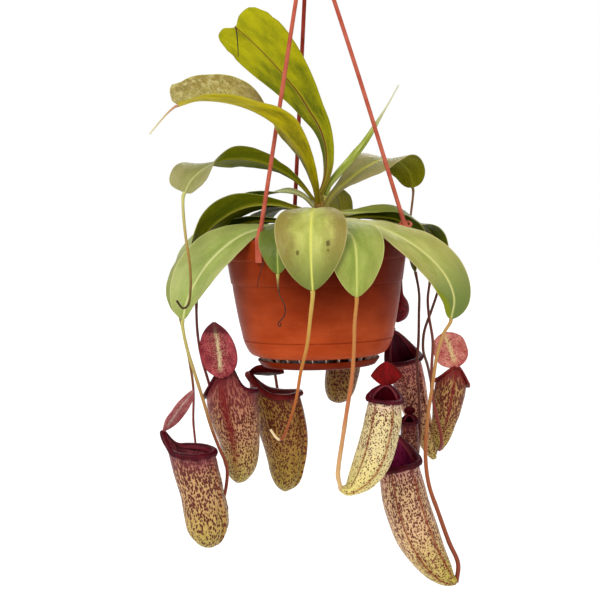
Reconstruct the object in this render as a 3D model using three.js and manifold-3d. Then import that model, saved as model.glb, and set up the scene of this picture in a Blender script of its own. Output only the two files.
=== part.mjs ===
// Tropical pitcher plant in a hanging pot, with its three-strand plastic hanger.
// Millimetres, +Z up, the front of the plant towards -Y. The origin is the point inside the top of the
// hook where it rests on its rail. Points of the plant are given from the centre of the pot's rim.
import * as THREE from "three";
import { mergeVertices } from "three/addons/utils/BufferGeometryUtils.js";
import Module from "manifold-3d";

const wasm = await Module();
wasm.setup();

// Pot, soil and saucer
const RIM_Z = -280;
const RIM_RADIUS = 70;
const RIM_INNER_RADIUS = 68.4;
const RIM_BAND_HEIGHT = 16;
const SECOND_BAND_TOP_RADIUS = 68.6;
const SECOND_BAND_LOW_RADIUS = 66;
const SECOND_BAND_Z = -34.4;
const LOW_LINE_RADIUS = 57.5;
const LOW_LINE_Z = -78;
const POT_BASE_RADIUS = 48;
const POT_BASE_Z = -91;
const POT_WALL = 1.6;
const POT_SEGMENTS = 28;
const SOIL_TOP_Z = -10;
const FIT_GAP = 0.35;
const SAUCER_TOP_RADIUS = 46.8;
const SAUCER_FOOT_RADIUS = 43.5;
const SAUCER_TOP_Z = -93.4;
const SAUCER_FOOT_Z = -99;
const SAUCER_PEGS = 14;
const PEG_RING_RADIUS = 43.4;

// Hanger: the plan directions of its clips, in degrees from the front towards the right
const CLIP_BEARINGS = { strand_left: -37, strand_right: 82, strand_back: -166 };
const STRAND_BOW = { strand_left: 0, strand_right: 5, strand_back: 0 };
const STRAND_RADIUS = 1.65;
const CLIP_WIDTH = 7.5;
const CLIP_THICKNESS = 1.8;
const CLIP_LEG_Z = -20;
const RING_RADIUS = 4.2;
const RING_WIRE = 0.9;
const HUB_Z = 233;
const HUB_RADIUS = 6.5;
const HUB_HALF_HEIGHT = 5;
const HOOK_ROD = 2.3;
const HOOK_INNER_RADIUS = 14;

// Stem
const STEM_RADIUS = 4.4;
const STEM_TOP_RADIUS = 2.6;
const STEM_BOTTOM_Z = -42;
const STEM_TOP_Z = 33.2;
const STEM_X = 2;
const STEM_LEAN = 0.035;

const LEAF_THICKNESS = 0.9;
const KEEL_DEPTH = 0.9;
const LEAF_SPACING = [0, 0.08, 0.2, 0.34, 0.48, 0.61, 0.73, 0.84, 0.94, 1];
const TIP_HALF_WIDTH = 1.2;
const LEAF_SEAT_GAP = 0.6;
const TENDRIL_SIDES = 5;
const TENDRIL_GAP = 0.8;
const FOOT_GAP = 0.5;
const CUP_SIDES = 12;
const CUP_WALL = 1.2;
const CUP_LEVELS = [0, 0.05, 0.13, 0.26, 0.42, 0.6, 0.77, 0.9, 1];
const CUP_INNER_LEVELS = [1, 0.9, 0.77, 0.5, 0.22];
const WING_ANGLE = 30;
const WING_HEIGHT = 1.6;
const SHORTEST_EDGE = 0.1;

// Leaves. bearing: plan direction of the leaf, 0 towards the front and 90 to the right. attach: height on the
// stem. start: first point of the midrib, where that isn't straight out from the stem. path: its other points.
// half: greatest half width, at the part "widest" of the length. neck: half width of the stalk. fold: slope of
// each half (stalk, tip). roll: degrees that the blade's right-hand side is turned up, at parts of the length.
// blunt: the smaller it is, the rounder the tip. tip: half width at the very end. lobes: how far the left and
// right halves reach past the midrib. skew: how much wider the right half is than the left at the tip.
const LEAVES = {
  leaf_01: {
    bearing: -82, start: [5, -0.5, 34.2], half: 22.5, widest: 0.82, neck: 4.8, blunt: 0.3, tip: 15, skew: 0.12,
    lobes: [7, 5],
    fold: [0.35, 0.12], roll: [[0, 20], [0.3, 45], [0.6, 62], [1, 66]],
    path: [[9, 1, 45], [10.5, 3, 58], [9.5, 3, 70], [5.5, 2, 83], [-1.5, 1, 95], [-10, 0, 109], [-21, -2, 123],
      [-35, -5, 139], [-48, -8, 152], [-57, -10, 160]],
  },
  leaf_02: {
    bearing: -66, start: [1.8, -3.7, 26], half: 20.5, widest: 0.72, neck: 4.6, blunt: 0.3, tip: 9, skew: -0.25,
    fold: [0.6, 0.9], roll: [[0, 6], [0.3, 26], [0.42, 28], [0.56, 0], [0.7, -26], [1, -30]],
    path: [[-1, -17.5, 39.5], [-6, -33, 55.5], [-14.5, -48.5, 70.5], [-27, -60, 85], [-41, -66, 94.5],
      [-56, -69, 100.5], [-71, -70, 103.5], [-85, -70, 104], [-98, -70, 100.5]],
  },
  leaf_03: {
    bearing: -72, start: [-1, 1.4, 28.2], half: 18, widest: 0.66, neck: 3.6, blunt: 0.3,
    fold: [0.45, 0.2], roll: [[0, 10], [0.35, 30], [0.6, 28], [0.74, 2], [0.88, -42], [1, -60]],
    path: [[-11, -3, 40], [-22, -8, 49], [-38, -14, 57], [-55, -20, 61], [-71, -26, 60], [-84, -33, 53],
      [-93, -39, 44.5], [-97, -43, 36.5]],
  },
  leaf_05: {
    bearing: 126, attach: 20, half: 16, widest: 0.64, neck: 3.2, blunt: 0.42,
    fold: [0.3, 0.15], roll: [[0, 20], [0.4, 30], [0.62, 12], [0.85, -30], [1, -40]],
    path: [[15, 10, 32], [27, 18, 42], [40, 27, 51], [54, 37, 57], [66, 46, 56], [75, 53, 47], [78, 57, 34]],
  },
  leaf_06: {
    bearing: 160, attach: 17, half: 11, widest: 0.55, neck: 3, blunt: 0.55,
    fold: [0.3, 0.15], roll: [[0, 0], [1, 0]],
    path: [[8, 15, 29], [13, 30, 33], [17, 47, 31], [20, 64, 22], [21, 78, 6], [20, 85, -14]],
  },
  leaf_07: {
    bearing: -115, attach: 22, half: 12, widest: 0.6, neck: 3, blunt: 0.5,
    fold: [0.35, 0.2], roll: [[0, -30], [0.35, -30], [0.6, 0], [1, 30]],
    path: [[-8, 6, 30], [-19, 12, 34.5], [-33, 18, 34], [-51, 26, 28], [-70, 34, 17], [-88, 41, 3],
      [-103, 46, -14], [-112, 49, -33], [-115, 50, -50]],
  },
  leaf_08: {
    bearing: -82, attach: 18, half: 14.5, widest: 0.5, neck: 3.2, blunt: 0.55,
    fold: [0.45, 0.2], roll: [[0, 0], [0.3, 20], [0.5, 10], [0.75, -34], [1, -50]],
    path: [[-17, -2, 25], [-36, -4, 28], [-55, -7, 27], [-72, -10, 21], [-86, -14, 9], [-97, -18, -6],
      [-104, -22, -23], [-107, -25, -40], [-104, -27, -57]],
  },
  leaf_10: {
    bearing: -54, attach: 12, half: 15.2, widest: 0.6, neck: 3.2, blunt: 0.62,
    fold: [0.25, 0.14], roll: [[0, -6], [0.3, -14], [0.6, -30], [1, -44]],
    path: [[-17, -15, 17], [-30, -25, 16.5], [-43, -34, 13.5], [-56, -42, 7.5], [-68, -48.5, -4], [-80, -54, -17],
      [-89, -58, -31], [-96, -61, -45], [-100, -62, -57]],
  },
  leaf_11: {
    bearing: 0, attach: 16, half: 27, widest: 0.62, neck: 3.2, blunt: 0.72,
    fold: [0.25, 0.1], roll: [[0, 0], [1, 0]],
    path: [[2, -12, 22], [1, -27, 25], [-1, -45, 25], [-3, -62, 21], [-4, -75, 11], [-4.5, -83, -3],
      [-4.5, -88, -20], [-4, -90, -36]],
  },
  leaf_12: {
    bearing: -22, attach: 6, half: 15.5, widest: 0.6, neck: 2.8, blunt: 0.66,
    fold: [0.25, 0.12], roll: [[0, 0], [1, 0]],
    path: [[-5, -13, 10], [-11, -26, 12], [-18, -42, 11], [-24, -58, 8], [-28, -69, 1], [-29, -75, -9],
      [-29, -77, -24]],
  },
  leaf_13: {
    bearing: 17, attach: 8, half: 20.5, widest: 0.6, neck: 3, blunt: 0.7,
    fold: [0.25, 0.1], roll: [[0, 0], [1, 6]],
    path: [[6, -14, 11.5], [11, -27, 13], [17, -43, 12.5], [22, -59, 9], [26, -70.5, 2], [28, -78, -9],
      [28.5, -81.5, -24], [28, -82, -42]],
  },
  leaf_14: {
    bearing: 60, attach: 12, half: 17.5, widest: 0.62, neck: 6.5, blunt: 0.5, skew: 0.15,
    fold: [0.22, 0.14], roll: [[0, 6], [0.2, 12], [0.4, 15], [0.6, 28], [0.8, 38], [1, 40]],
    path: [[16, -10.5, 12.5], [29, -22, 11], [44, -34.5, 8], [59, -45.5, 1.7], [75, -51.5, -8.5], [88, -54, -20.5],
      [97, -54.5, -33.5], [101, -54, -47.5], [98.5, -52, -62]],
  },
  leaf_15: {
    bearing: 106, attach: 16, half: 13.5, widest: 0.6, neck: 3, blunt: 0.55,
    fold: [0.3, 0.18], roll: [[0, 10], [0.35, 24], [0.6, 0], [0.85, -36], [1, -44]],
    path: [[16, 6, 19.5], [30, 11, 21], [46, 17, 21.5], [62, 24, 19.5], [77, 30, 13.5], [89, 34, 2],
      [96, 36, -13], [98, 36.5, -28]],
  },
  leaf_17: {
    bearing: 86, attach: 6, half: 11, widest: 0.62, neck: 2.8, blunt: 0.55,
    fold: [0.3, 0.15], roll: [[0, 0], [0.5, 0], [1, -40]],
    path: [[16, 3, 10.5], [31, 7, 14], [48, 10, 14.5], [65, 12, 11], [78, 12.5, 0], [85, 11.5, -16], [87, 9.5, -34]],
  },
  leaf_18: {
    bearing: -92, attach: 4, half: 11.5, widest: 0.6, neck: 2.8, blunt: 0.55,
    fold: [0.3, 0.15], roll: [[0, -10], [0.5, -20], [1, -30]],
    path: [[-14, 2, 9], [-30, 4, 12], [-47, 7, 12], [-64, 9, 8], [-78, 10.5, -1], [-87, 10, -15], [-92, 8, -32],
      [-93, 5, -50]],
  },
  leaf_19: {
    bearing: -138, attach: 10, half: 15, widest: 0.6, neck: 3, blunt: 0.6,
    fold: [0.25, 0.12], roll: [[0, 0], [1, 0]],
    path: [[-6, 14, 17], [-18, 28, 21], [-31, 42, 20], [-43, 55, 13], [-51, 65, 1], [-55, 71, -16], [-55, 74, -36]],
  },
  leaf_20: {
    bearing: 118, attach: 3, half: 11, widest: 0.6, neck: 2.8, blunt: 0.6,
    fold: [0.25, 0.12], roll: [[0, 0], [1, 0]],
    path: [[16, 9, 6.5], [30, 17, 9], [44, 25, 9], [57, 32, 6], [68, 37, -1.5], [75, 41, -15], [78, 42, -32]],
  },
};

// The new leaf, still rolled up, ends in a pale thread.
const SPEAR = {
  path: [[8, 1.4, 31], [11, 2.9, 38], [18, 6, 46.5], [29, 10, 58], [41, 14, 73], [51, 17, 88], [60, 20, 102],
    [67, 22, 114]],
  girth: [[0, 2.2], [0.25, 3], [0.5, 2.6], [0.68, 1.5], [0.8, 0.7], [1, 0.5]],
};

// Tendrils: from the tip of a leaf, through the points, to the foot of a pitcher where there is one.
const TENDRILS = {
  tendril_02: { leaf: "leaf_02", girth: 0.8, end: 0.5, path: [[-107, -70, 94.5], [-114, -70, 87], [-120, -70, 80]] },
  tendril_03: {
    leaf: "leaf_03", girth: 1.2, end: 0.8,
    path: [[-98, -52, 23], [-96, -63, 3], [-93, -73, -18], [-93, -79, -35], [-95, -81, -45], [-98.5, -82, -47],
      [-103, -83, -41]],
  },
  tendril_11: {
    leaf: "leaf_11", girth: 1.5, end: 0.9,
    path: [[-6, -92, -54], [-9, -94, -75], [-14, -95, -94], [-18, -96.5, -114], [-24, -98, -132], [-29.5, -98.5, -143],
      [-33, -98, -141], [-37, -98, -135]],
  },
  tendril_12: { leaf: "leaf_12", girth: 1, end: 0.6, path: [[-29, -79, -31], [-28.5, -80, -37]] },
  tendril_10: {
    leaf: "leaf_10", pitcher: "pitcher_1", girth: 1.2, end: 1.3,
    path: [[-98, -60, -77], [-93, -58, -96], [-87, -55, -118], [-82, -47, -139], [-77, -33, -157], [-72, -25, -173],
      [-73, -24, -188], [-78, -24, -206], [-84, -27, -223]],
  },
  tendril_08: {
    leaf: "leaf_08", girth: 1.1, end: 0.8,
    path: [[-101, -27, -74], [-98, -24, -92], [-96, -19, -114], [-97, -14, -139], [-96, -12, -156], [-95, -11, -176]],
  },
  tendril_18: {
    leaf: "leaf_18", pitcher: "pitcher_2", girth: 1, end: 1.3,
    path: [[-93, 6, -71], [-91, 10, -90], [-86, 17, -112], [-80, 21, -136], [-74, 20, -158], [-69, 15, -178]],
  },
  tendril_19: {
    leaf: "leaf_19", pitcher: "pitcher_3", girth: 1.1, end: 1.3,
    path: [[-52, 78, -58], [-43, 80, -82], [-36, 79, -108], [-32, 76, -140], [-30, 72, -170], [-29, 64, -194]],
  },
  tendril_06: {
    leaf: "leaf_06", pitcher: "pitcher_4", girth: 1.1, end: 1.3,
    path: [[19, 94, -32], [19, 104, -55], [18, 108, -85], [17, 107, -112], [16, 101, -132]],
  },
  tendril_13: {
    leaf: "leaf_13", pitcher: "pitcher_5", girth: 1.3, end: 1.7,
    path: [[26, -85, -60], [25, -88, -78], [23, -90, -100], [19, -91, -122], [15, -91, -145], [11.5, -90, -161],
      [9.5, -88, -173]],
  },
  tendril_15: {
    leaf: "leaf_15", pitcher: "pitcher_6", girth: 1, end: 1.3,
    path: [[95, 33, -46], [89, 28, -62], [83, 26, -78], [82, 28, -92], [86, 42, -106], [90, 58, -124],
      [94, 64, -148], [94, 60, -170]],
  },
  tendril_14: {
    leaf: "leaf_14", pitcher: "pitcher_7", girth: 1.2, end: 1.8,
    path: [[93, -48.5, -73], [88, -47, -89], [84, -44, -113], [80, -39, -140], [78.5, -34, -168], [81, -29, -190],
      [88, -24, -212], [96, -18, -236], [103, -13.5, -254]],
  },
  tendril_17: {
    leaf: "leaf_17", pitcher: "pitcher_8", girth: 1, end: 1.3,
    path: [[85, 4, -50], [85, -5, -63], [87, -14, -82], [85.5, -18, -101], [85, -18, -118], [88, -15, -139],
      [92, -11, -157], [92, -8, -170]],
  },
  tendril_20: {
    leaf: "leaf_20", pitcher: "pitcher_9", girth: 1, end: 1.3,
    path: [[80, 33, -48], [79, 23, -64], [78, 19, -84], [76.5, 19, -102], [77.5, 24, -122], [78, 27, -145],
      [77, 29, -168], [74, 30, -184]],
  },
  tendril_05: { leaf: "leaf_05", bud: true, girth: 0.9, end: 0.9, path: [[76, 56, 12], [73, 53, -8]] },
};

// Pitchers. spine: from the foot up to the middle of the mouth. girth: radius along the spine. front: plan
// direction of the low side of the mouth. rise: height of the neck over the low side. lid: length,
// half width, direction that it points, and its sideways direction.
const PITCHERS = {
  pitcher_1: {
    front: 52, rise: 20,
    spine: [[-87.5, -40.5, -228.5], [-87, -43, -224], [-87, -44.5, -215], [-88.5, -45, -201], [-91, -45, -187],
      [-94, -45, -172], [-96.5, -45, -160]],
    girth: [[0, 2.4], [0.05, 8.5], [0.15, 14.2], [0.32, 16.4], [0.55, 16], [0.8, 16.6], [1, 16.8]],
    lid: { length: 36, half: 11, along: [0.5, 0.02, 0.86], side: [0.42, 0.9, -0.24], bend: 8 },
  },
  pitcher_2: {
    front: 147, rise: 16,
    spine: [[-64.5, -4.5, -187.5], [-63.5, -6.5, -182], [-62, -8, -170], [-62.5, -8, -155], [-65, -8, -139],
      [-67, -8, -127], [-68.5, -8, -117]],
    girth: [[0, 2.4], [0.07, 7.6], [0.2, 12.4], [0.4, 14.6], [0.65, 17.6], [0.85, 19], [1, 19.2]],
    lid: { length: 39, half: 14.5, along: [0.13, -0.1, 0.98], side: [0.9, -0.42, -0.1], bend: -14 },
  },
  pitcher_3: {
    front: 90, rise: 22,
    spine: [[-29, 44, -203], [-28.5, 42, -197.5], [-27.5, 40, -187], [-27, 40, -176], [-28, 40, -162],
      [-30.5, 40, -147], [-34, 40, -130]],
    girth: [[0, 2.4], [0.07, 7.8], [0.2, 12.8], [0.38, 15.8], [0.62, 18.8], [0.82, 19.4], [1, 18.8]],
    lid: { length: 27, half: 11, along: [0.97, 0.1, -0.1], side: [0.1, -1, 0], bend: 6 },
  },
  pitcher_4: {
    front: 172, rise: 16,
    spine: [[15, 84, -139], [15.5, 82, -134.5], [17.5, 80.5, -125], [20, 80, -111], [22, 80, -95], [23.5, 80, -76]],
    girth: [[0, 2.4], [0.08, 7], [0.22, 10.4], [0.42, 12.6], [0.7, 13.4], [1, 12.6]],
    lid: { length: 26, half: 9.5, along: [0.05, 0.35, 0.93], side: [1, 0, 0], bend: -20 },
  },
  pitcher_5: {
    front: -4, rise: 15,
    spine: [[13, -80, -182.5], [18.5, -76.5, -184], [26, -71, -179.5], [33, -66.5, -171.5], [39, -63, -160.5],
      [43, -61, -148], [46, -60, -135], [47.5, -59.5, -122]],
    girth: [[0, 2.2], [0.09, 4.8], [0.24, 10], [0.42, 13.3], [0.62, 14.2], [0.82, 13.8], [1, 12.4]],
    lid: { length: 19, half: 10.5, along: [0.02, -0.18, 0.98], side: [1, 0.05, 0], bend: 10 },
  },
  pitcher_6: {
    front: 12, rise: 24,
    spine: [[90, 46.5, -181], [87.5, 45.5, -175], [83.5, 45, -163], [79, 45, -149], [74.5, 45, -134], [71, 45, -118],
      [68, 45, -104]],
    girth: [[0, 2.2], [0.1, 5], [0.25, 7.6], [0.45, 10], [0.7, 12.4], [0.88, 13.2], [1, 13]],
    lid: { length: 24, half: 9.5, along: [-0.3, 0.72, 0.62], side: [0.95, 0.3, 0], bend: 0 },
  },
  pitcher_7: {
    front: 6, rise: 29,
    spine: [[101.5, -12, -268.5], [95.5, -13, -265.5], [88, -14, -257.5], [79, -15, -244], [70.5, -16, -226],
      [64.5, -16, -207], [61, -16, -190], [59.5, -16, -178]],
    girth: [[0, 2.4], [0.06, 6], [0.16, 10.6], [0.32, 14.6], [0.5, 17], [0.72, 17.4], [0.9, 16.6], [1, 16.6]],
    lid: { length: 26, half: 9.5, along: [-0.5, 0.35, 0.79], side: [0.8, 0.5, 0.3], bend: 0 },
  },
  pitcher_8: {
    front: 186, rise: 15,
    spine: [[88, 2, -175.5], [88.5, 3.5, -170], [91.5, 5, -158], [95.5, 5, -143], [99, 5, -129], [101.5, 5, -118]],
    girth: [[0, 2.2], [0.1, 5.6], [0.25, 7.8], [0.5, 10], [0.8, 12], [1, 12.2]],
    lid: { length: 33, half: 11, along: [-0.33, -0.12, 0.93], side: [0.92, -0.15, 0.3], bend: -10 },
  },
  pitcher_9: {
    front: -8, rise: 9,
    spine: [[70, 24, -187.5], [70, 22.5, -183], [70, 21, -174], [70, 20, -164], [69.5, 20, -149]],
    girth: [[0, 2], [0.12, 4.4], [0.3, 6.4], [0.6, 7.4], [1, 6.8]],
    lid: { length: 11, half: 5.5, along: [0.05, -0.1, 1], side: [1, 0, 0], bend: 0 },
  },
};

const BUD = {
  path: [[70.5, 50.5, -27], [69.5, 50, -36], [68, 50, -46], [66.5, 50, -56], [65.5, 50, -66], [66, 49, -73]],
  girth: [[0, 1], [0.15, 1.1], [0.3, 2], [0.45, 5], [0.65, 6.8], [0.85, 6], [0.97, 3], [1, 1.2]],
};

const vec = (p) => new THREE.Vector3(p[0], p[1], p[2]);
const radians = (degrees) => (degrees * Math.PI) / 180;
const outward = (bearing) => vec([Math.sin(radians(bearing)), -Math.cos(radians(bearing)), 0]);
const sideways = (bearing) => vec([Math.cos(radians(bearing)), Math.sin(radians(bearing)), 0]);
const clamp01 = (x) => Math.min(1, Math.max(0, x));
const smooth = (x) => clamp01(x) ** 2 * (3 - 2 * clamp01(x));
const mix = (a, b, t) => a + (b - a) * t;

function curveThrough(points) {
  return new THREE.CatmullRomCurve3(points.map(vec), false, "centripetal");
}

// A value along a list of [place, value] pairs, without corners at the pairs.
function along(pairs, t) {
  const last = pairs.length - 1;
  const i = Math.max(0, Math.min(last - 1, pairs.findIndex((p) => p[0] > t) - 1));
  const k = t >= pairs[last][0] ? last - 1 : i;
  const slope = (n) => {
    const a = pairs[Math.max(0, n - 1)];
    const b = pairs[Math.min(last, n + 1)];
    return (b[1] - a[1]) / (b[0] - a[0]);
  };
  const [t0, v0] = pairs[k];
  const [t1, v1] = pairs[k + 1];
  const h = t1 - t0;
  const x = clamp01((t - t0) / h);
  return (
    v0 * (1 + 2 * x) * (1 - x) ** 2 +
    h * slope(k) * x * (1 - x) ** 2 +
    v1 * x * x * (3 - 2 * x) +
    h * slope(k + 1) * x * x * (x - 1)
  );
}

function geometryOf(points, index) {
  const geometry = new THREE.BufferGeometry();
  geometry.setAttribute("position", new THREE.Float32BufferAttribute(points.flatMap((p) => [p.x, p.y, p.z]), 3));
  geometry.setIndex(index);
  return geometry;
}

// A closed body round rings of points. The rings run anticlockwise seen from the far end of the body.
function ringBody(rings, closedLoop = false) {
  const sides = rings[0].length;
  const points = rings.flat();
  const index = [];
  const count = closedLoop ? rings.length : rings.length - 1;
  for (let k = 0; k < count; k += 1) {
    const next = (k + 1) % rings.length;
    for (let j = 0; j < sides; j += 1) {
      const a = k * sides + j;
      const b = k * sides + ((j + 1) % sides);
      const c = next * sides + ((j + 1) % sides);
      const d = next * sides + j;
      index.push(a, b, c, a, c, d);
    }
  }
  if (!closedLoop) {
    const start = points.length;
    points.push(centreOf(rings[0]), centreOf(rings[rings.length - 1]));
    const end = (rings.length - 1) * sides;
    for (let j = 0; j < sides; j += 1) {
      const next = (j + 1) % sides;
      index.push(start, next, j);
      index.push(start + 1, end + j, end + next);
    }
  }
  return geometryOf(points, index);
}

function centreOf(ring) {
  const sum = ring.reduce((total, p) => total.add(p), new THREE.Vector3());
  return sum.divideScalar(ring.length);
}

// A closed thin body between two grids of points, the first above the second.
function sheetBody(top, bottom) {
  const rows = top.length;
  const columns = top[0].length;
  const points = [...top.flat(), ...bottom.flat()];
  const under = rows * columns;
  const at = (k, j) => k * columns + j;
  const index = [];
  for (let k = 0; k + 1 < rows; k += 1) {
    for (let j = 0; j + 1 < columns; j += 1) {
      const [a, b, c, d] = [at(k, j), at(k, j + 1), at(k + 1, j + 1), at(k + 1, j)];
      index.push(a, c, b, a, d, c);
      index.push(under + a, under + b, under + c, under + a, under + c, under + d);
    }
  }
  const edge = [];
  for (let j = 0; j + 1 < columns; j += 1) edge.push(at(0, j));
  for (let k = 0; k + 1 < rows; k += 1) edge.push(at(k, columns - 1));
  for (let j = columns - 1; j > 0; j -= 1) edge.push(at(rows - 1, j));
  for (let k = rows - 1; k > 0; k -= 1) edge.push(at(k, 0));
  edge.forEach((p, i) => {
    const q = edge[(i + 1) % edge.length];
    index.push(p, q, under + q, p, under + q, under + p);
  });
  return geometryOf(points, index);
}

function solidOf(geometry) {
  const bare = geometry.clone();
  bare.deleteAttribute("normal");
  bare.deleteAttribute("uv");
  const merged = mergeVertices(bare, 1e-4);
  return new wasm.Manifold(
    new wasm.Mesh({
      numProp: 3,
      vertProperties: merged.attributes.position.array,
      triVerts: new Uint32Array(merged.index.array),
    }),
  );
}

function joined(geometries) {
  return geometryFromSolid(geometries.map(solidOf).reduce((a, b) => a.add(b)));
}

// The shell of a solid, without edges too short to matter.
function geometryFromSolid(solid) {
  const mesh = solid.asOriginal().simplify(SHORTEST_EDGE).getMesh();
  const geometry = new THREE.BufferGeometry();
  geometry.setAttribute("position", new THREE.BufferAttribute(new Float32Array(mesh.vertProperties), 3));
  geometry.setIndex(Array.from(mesh.triVerts));
  return geometry;
}

// Rings at the given places of a curve, with a frame that doesn't twist.
function tube(points, radiusAt, sides, places, trimStart = 0, trimEnd = 0) {
  const curve = curveThrough(points);
  const length = curve.getLength();
  const from = trimStart / length;
  const to = 1 - trimEnd / length;
  let normal = null;
  const rings = places.map((place) => {
    const u = mix(from, to, place);
    const centre = curve.getPointAt(u);
    const tangent = curve.getTangentAt(u);
    if (!normal) normal = Math.abs(tangent.z) > 0.8 ? vec([1, 0, 0]) : vec([0, 0, 1]);
    normal = normal.clone().addScaledVector(tangent, -normal.dot(tangent)).normalize();
    const other = tangent.clone().cross(normal);
    const radius = radiusAt(place);
    return Array.from({ length: sides }, (_, j) => {
      const angle = (2 * Math.PI * j) / sides;
      return centre
        .clone()
        .addScaledVector(normal, radius * Math.cos(angle))
        .addScaledVector(other, radius * Math.sin(angle));
    });
  });
  return ringBody(rings);
}

function evenly(count) {
  return Array.from({ length: count + 1 }, (_, i) => i / count);
}

function stemAxis(z) {
  return [STEM_X + STEM_LEAN * (z - SOIL_TOP_Z), 0, z];
}

function stemRadius(z) {
  return mix(STEM_RADIUS, STEM_TOP_RADIUS, smooth((z - 8) / (STEM_TOP_Z - 8)));
}

function leafPath(leaf) {
  if (leaf.start) return [leaf.start, ...leaf.path];
  const axis = stemAxis(leaf.attach);
  const out = outward(leaf.bearing).multiplyScalar(stemRadius(leaf.attach) + LEAF_SEAT_GAP);
  return [[axis[0] + out.x, axis[1] + out.y, leaf.attach], ...leaf.path];
}

// Half width of a blade at the part u of its length.
function halfWidth(leaf, u) {
  const stalk = mix(2, leaf.neck, smooth(u / 0.16));
  if (u < leaf.widest) {
    const spread = smooth((u - 0.06) / (leaf.widest - 0.06));
    return mix(stalk, leaf.half, spread ** 1.25);
  }
  const x = (u - leaf.widest) / (1 - leaf.widest);
  return Math.max(leaf.tip ?? TIP_HALF_WIDTH, leaf.half * (1 - x * x) ** leaf.blunt);
}

function leafBlade(leaf) {
  const curve = curveThrough(leafPath(leaf));
  const side = sideways(leaf.bearing);
  const across = [-1, -0.5, 0, 0.5, 1];
  const top = [];
  const bottom = [];
  for (const u of LEAF_SPACING) {
    const centre = curve.getPointAt(u);
    const tangent = curve.getTangentAt(u);
    const level = side.clone().addScaledVector(tangent, -side.dot(tangent)).normalize();
    const upper = tangent.clone().cross(level);
    const roll = radians(along(leaf.roll, u));
    const right = level.clone().multiplyScalar(Math.cos(roll)).addScaledVector(upper, Math.sin(roll));
    const up = upper.clone().multiplyScalar(Math.cos(roll)).addScaledVector(level, -Math.sin(roll));
    const fold = mix(leaf.fold[0], leaf.fold[1], u);
    const half = halfWidth(leaf, u);
    const reach = half / Math.hypot(1, fold);
    const lobes = (leaf.lobes ?? [0, 0]).map((length) => length * u ** 6);
    const upperRow = across.map((s) =>
      centre
        .clone()
        .addScaledVector(right, s * reach * (1 + (leaf.skew ?? 0) * s * u))
        .addScaledVector(up, reach * (fold * Math.abs(s) - 0.12 * s * s))
        .addScaledVector(tangent, lobes[s < 0 ? 0 : 1] * (3.5 * Math.abs(s) - 3 * s * s)),
    );
    const keel = KEEL_DEPTH * (1 - 0.7 * u);
    top.push(upperRow);
    bottom.push(upperRow.map((p, j) => p.clone().addScaledVector(up, -LEAF_THICKNESS - (j === 2 ? keel : 0))));
  }
  return sheetBody(top, bottom);
}

function footOf(tendril) {
  if (!tendril.pitcher && !tendril.bud) return null;
  const line = tendril.bud ? BUD.path : PITCHERS[tendril.pitcher].spine;
  return { at: line[0], next: line[1] };
}

// The point that lies a distance past b on the line from a.
function beyond(a, b, distance) {
  const step = vec(b).sub(vec(a)).setLength(distance);
  return vec(b).add(step).toArray();
}

function tendrilBody(tendril) {
  const leaf = leafPath(LEAVES[tendril.leaf]);
  const tip = leaf[leaf.length - 1];
  const foot = footOf(tendril);
  const points = [tip, beyond(leaf.at(-2), tip, 2.5), ...tendril.path];
  if (foot) points.push(beyond(foot.next, foot.at, 3.5), foot.at);
  const steps = Math.max(5, Math.round(points.length * 1.2));
  const radiusAt = (place) => mix(tendril.girth, tendril.end, place);
  const places = evenly(steps);
  if (foot) places.splice(-1, 0, 0.985);
  return tube(points, radiusAt, TENDRIL_SIDES, places, TENDRIL_GAP, foot ? FOOT_GAP : 0);
}

// Axes and middle of a pitcher at the part t of its height: up the spine, towards its front, and to its side.
function cupFrame(pitcher, t) {
  const curve = curveThrough(pitcher.spine);
  const tangent = curve.getTangentAt(t);
  const face = outward(pitcher.front);
  const front = face.clone().addScaledVector(tangent, -face.dot(tangent)).normalize();
  return { centre: curve.getPointAt(t), tangent, front, side: tangent.clone().cross(front) };
}

// A point of the pitcher at the part t of its height and the angle from its front, moved off the middle of its wall.
function cupPoint(pitcher, t, angle, off, lift = 0) {
  const { centre, tangent, front, side } = cupFrame(pitcher, t);
  const back = ((1 - Math.cos(angle)) / 2) ** 2.4;
  const raise = pitcher.rise * back * smooth((t - 0.62) / 0.38) + lift;
  const narrow = 1 - 0.22 * back * smooth((t - 0.8) / 0.2);
  const radius = along(pitcher.girth, t) * narrow + off;
  return centre
    .clone()
    .addScaledVector(front, radius * Math.cos(angle))
    .addScaledVector(side, radius * Math.sin(angle))
    .addScaledVector(tangent, raise);
}

function cupAngles() {
  return Array.from({ length: CUP_SIDES }, (_, j) => (2 * Math.PI * j) / CUP_SIDES);
}

function cupBody(pitcher) {
  const wing = (t, angle) => {
    const fromFront = Math.abs(Math.atan2(Math.sin(angle), Math.cos(angle)));
    const near = Math.abs(fromFront - radians(WING_ANGLE)) < 0.01;
    return near ? WING_HEIGHT * smooth(t / 0.15) * smooth((1 - t) / 0.12) : 0;
  };
  const outer = CUP_LEVELS.map((t) => cupAngles().map((angle) => cupPoint(pitcher, t, angle, wing(t, angle))));
  const inner = CUP_INNER_LEVELS.map((t) =>
    cupAngles().map((angle) => cupPoint(pitcher, t, angle, -CUP_WALL)),
  );
  return ringBody([...outer, ...inner]);
}

// The ribbed collar round the mouth, its neck, and the lid.
function collarAndLid(pitcher, scale) {
  const section = [
    [0.8, 2.6],
    [2.6, -0.4],
    [0.8, 1.3],
    [-0.7, 1.3],
    [-2.6, -0.6],
  ];
  const rings = cupAngles().map((angle) =>
    section.map(([off, lift]) => cupPoint(pitcher, 1, angle, off * scale - CUP_WALL / 2, lift * scale)),
  );
  const collar = ringBody(rings, true);
  return joined([collar, lidBlade(pitcher, scale)]);
}

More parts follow.
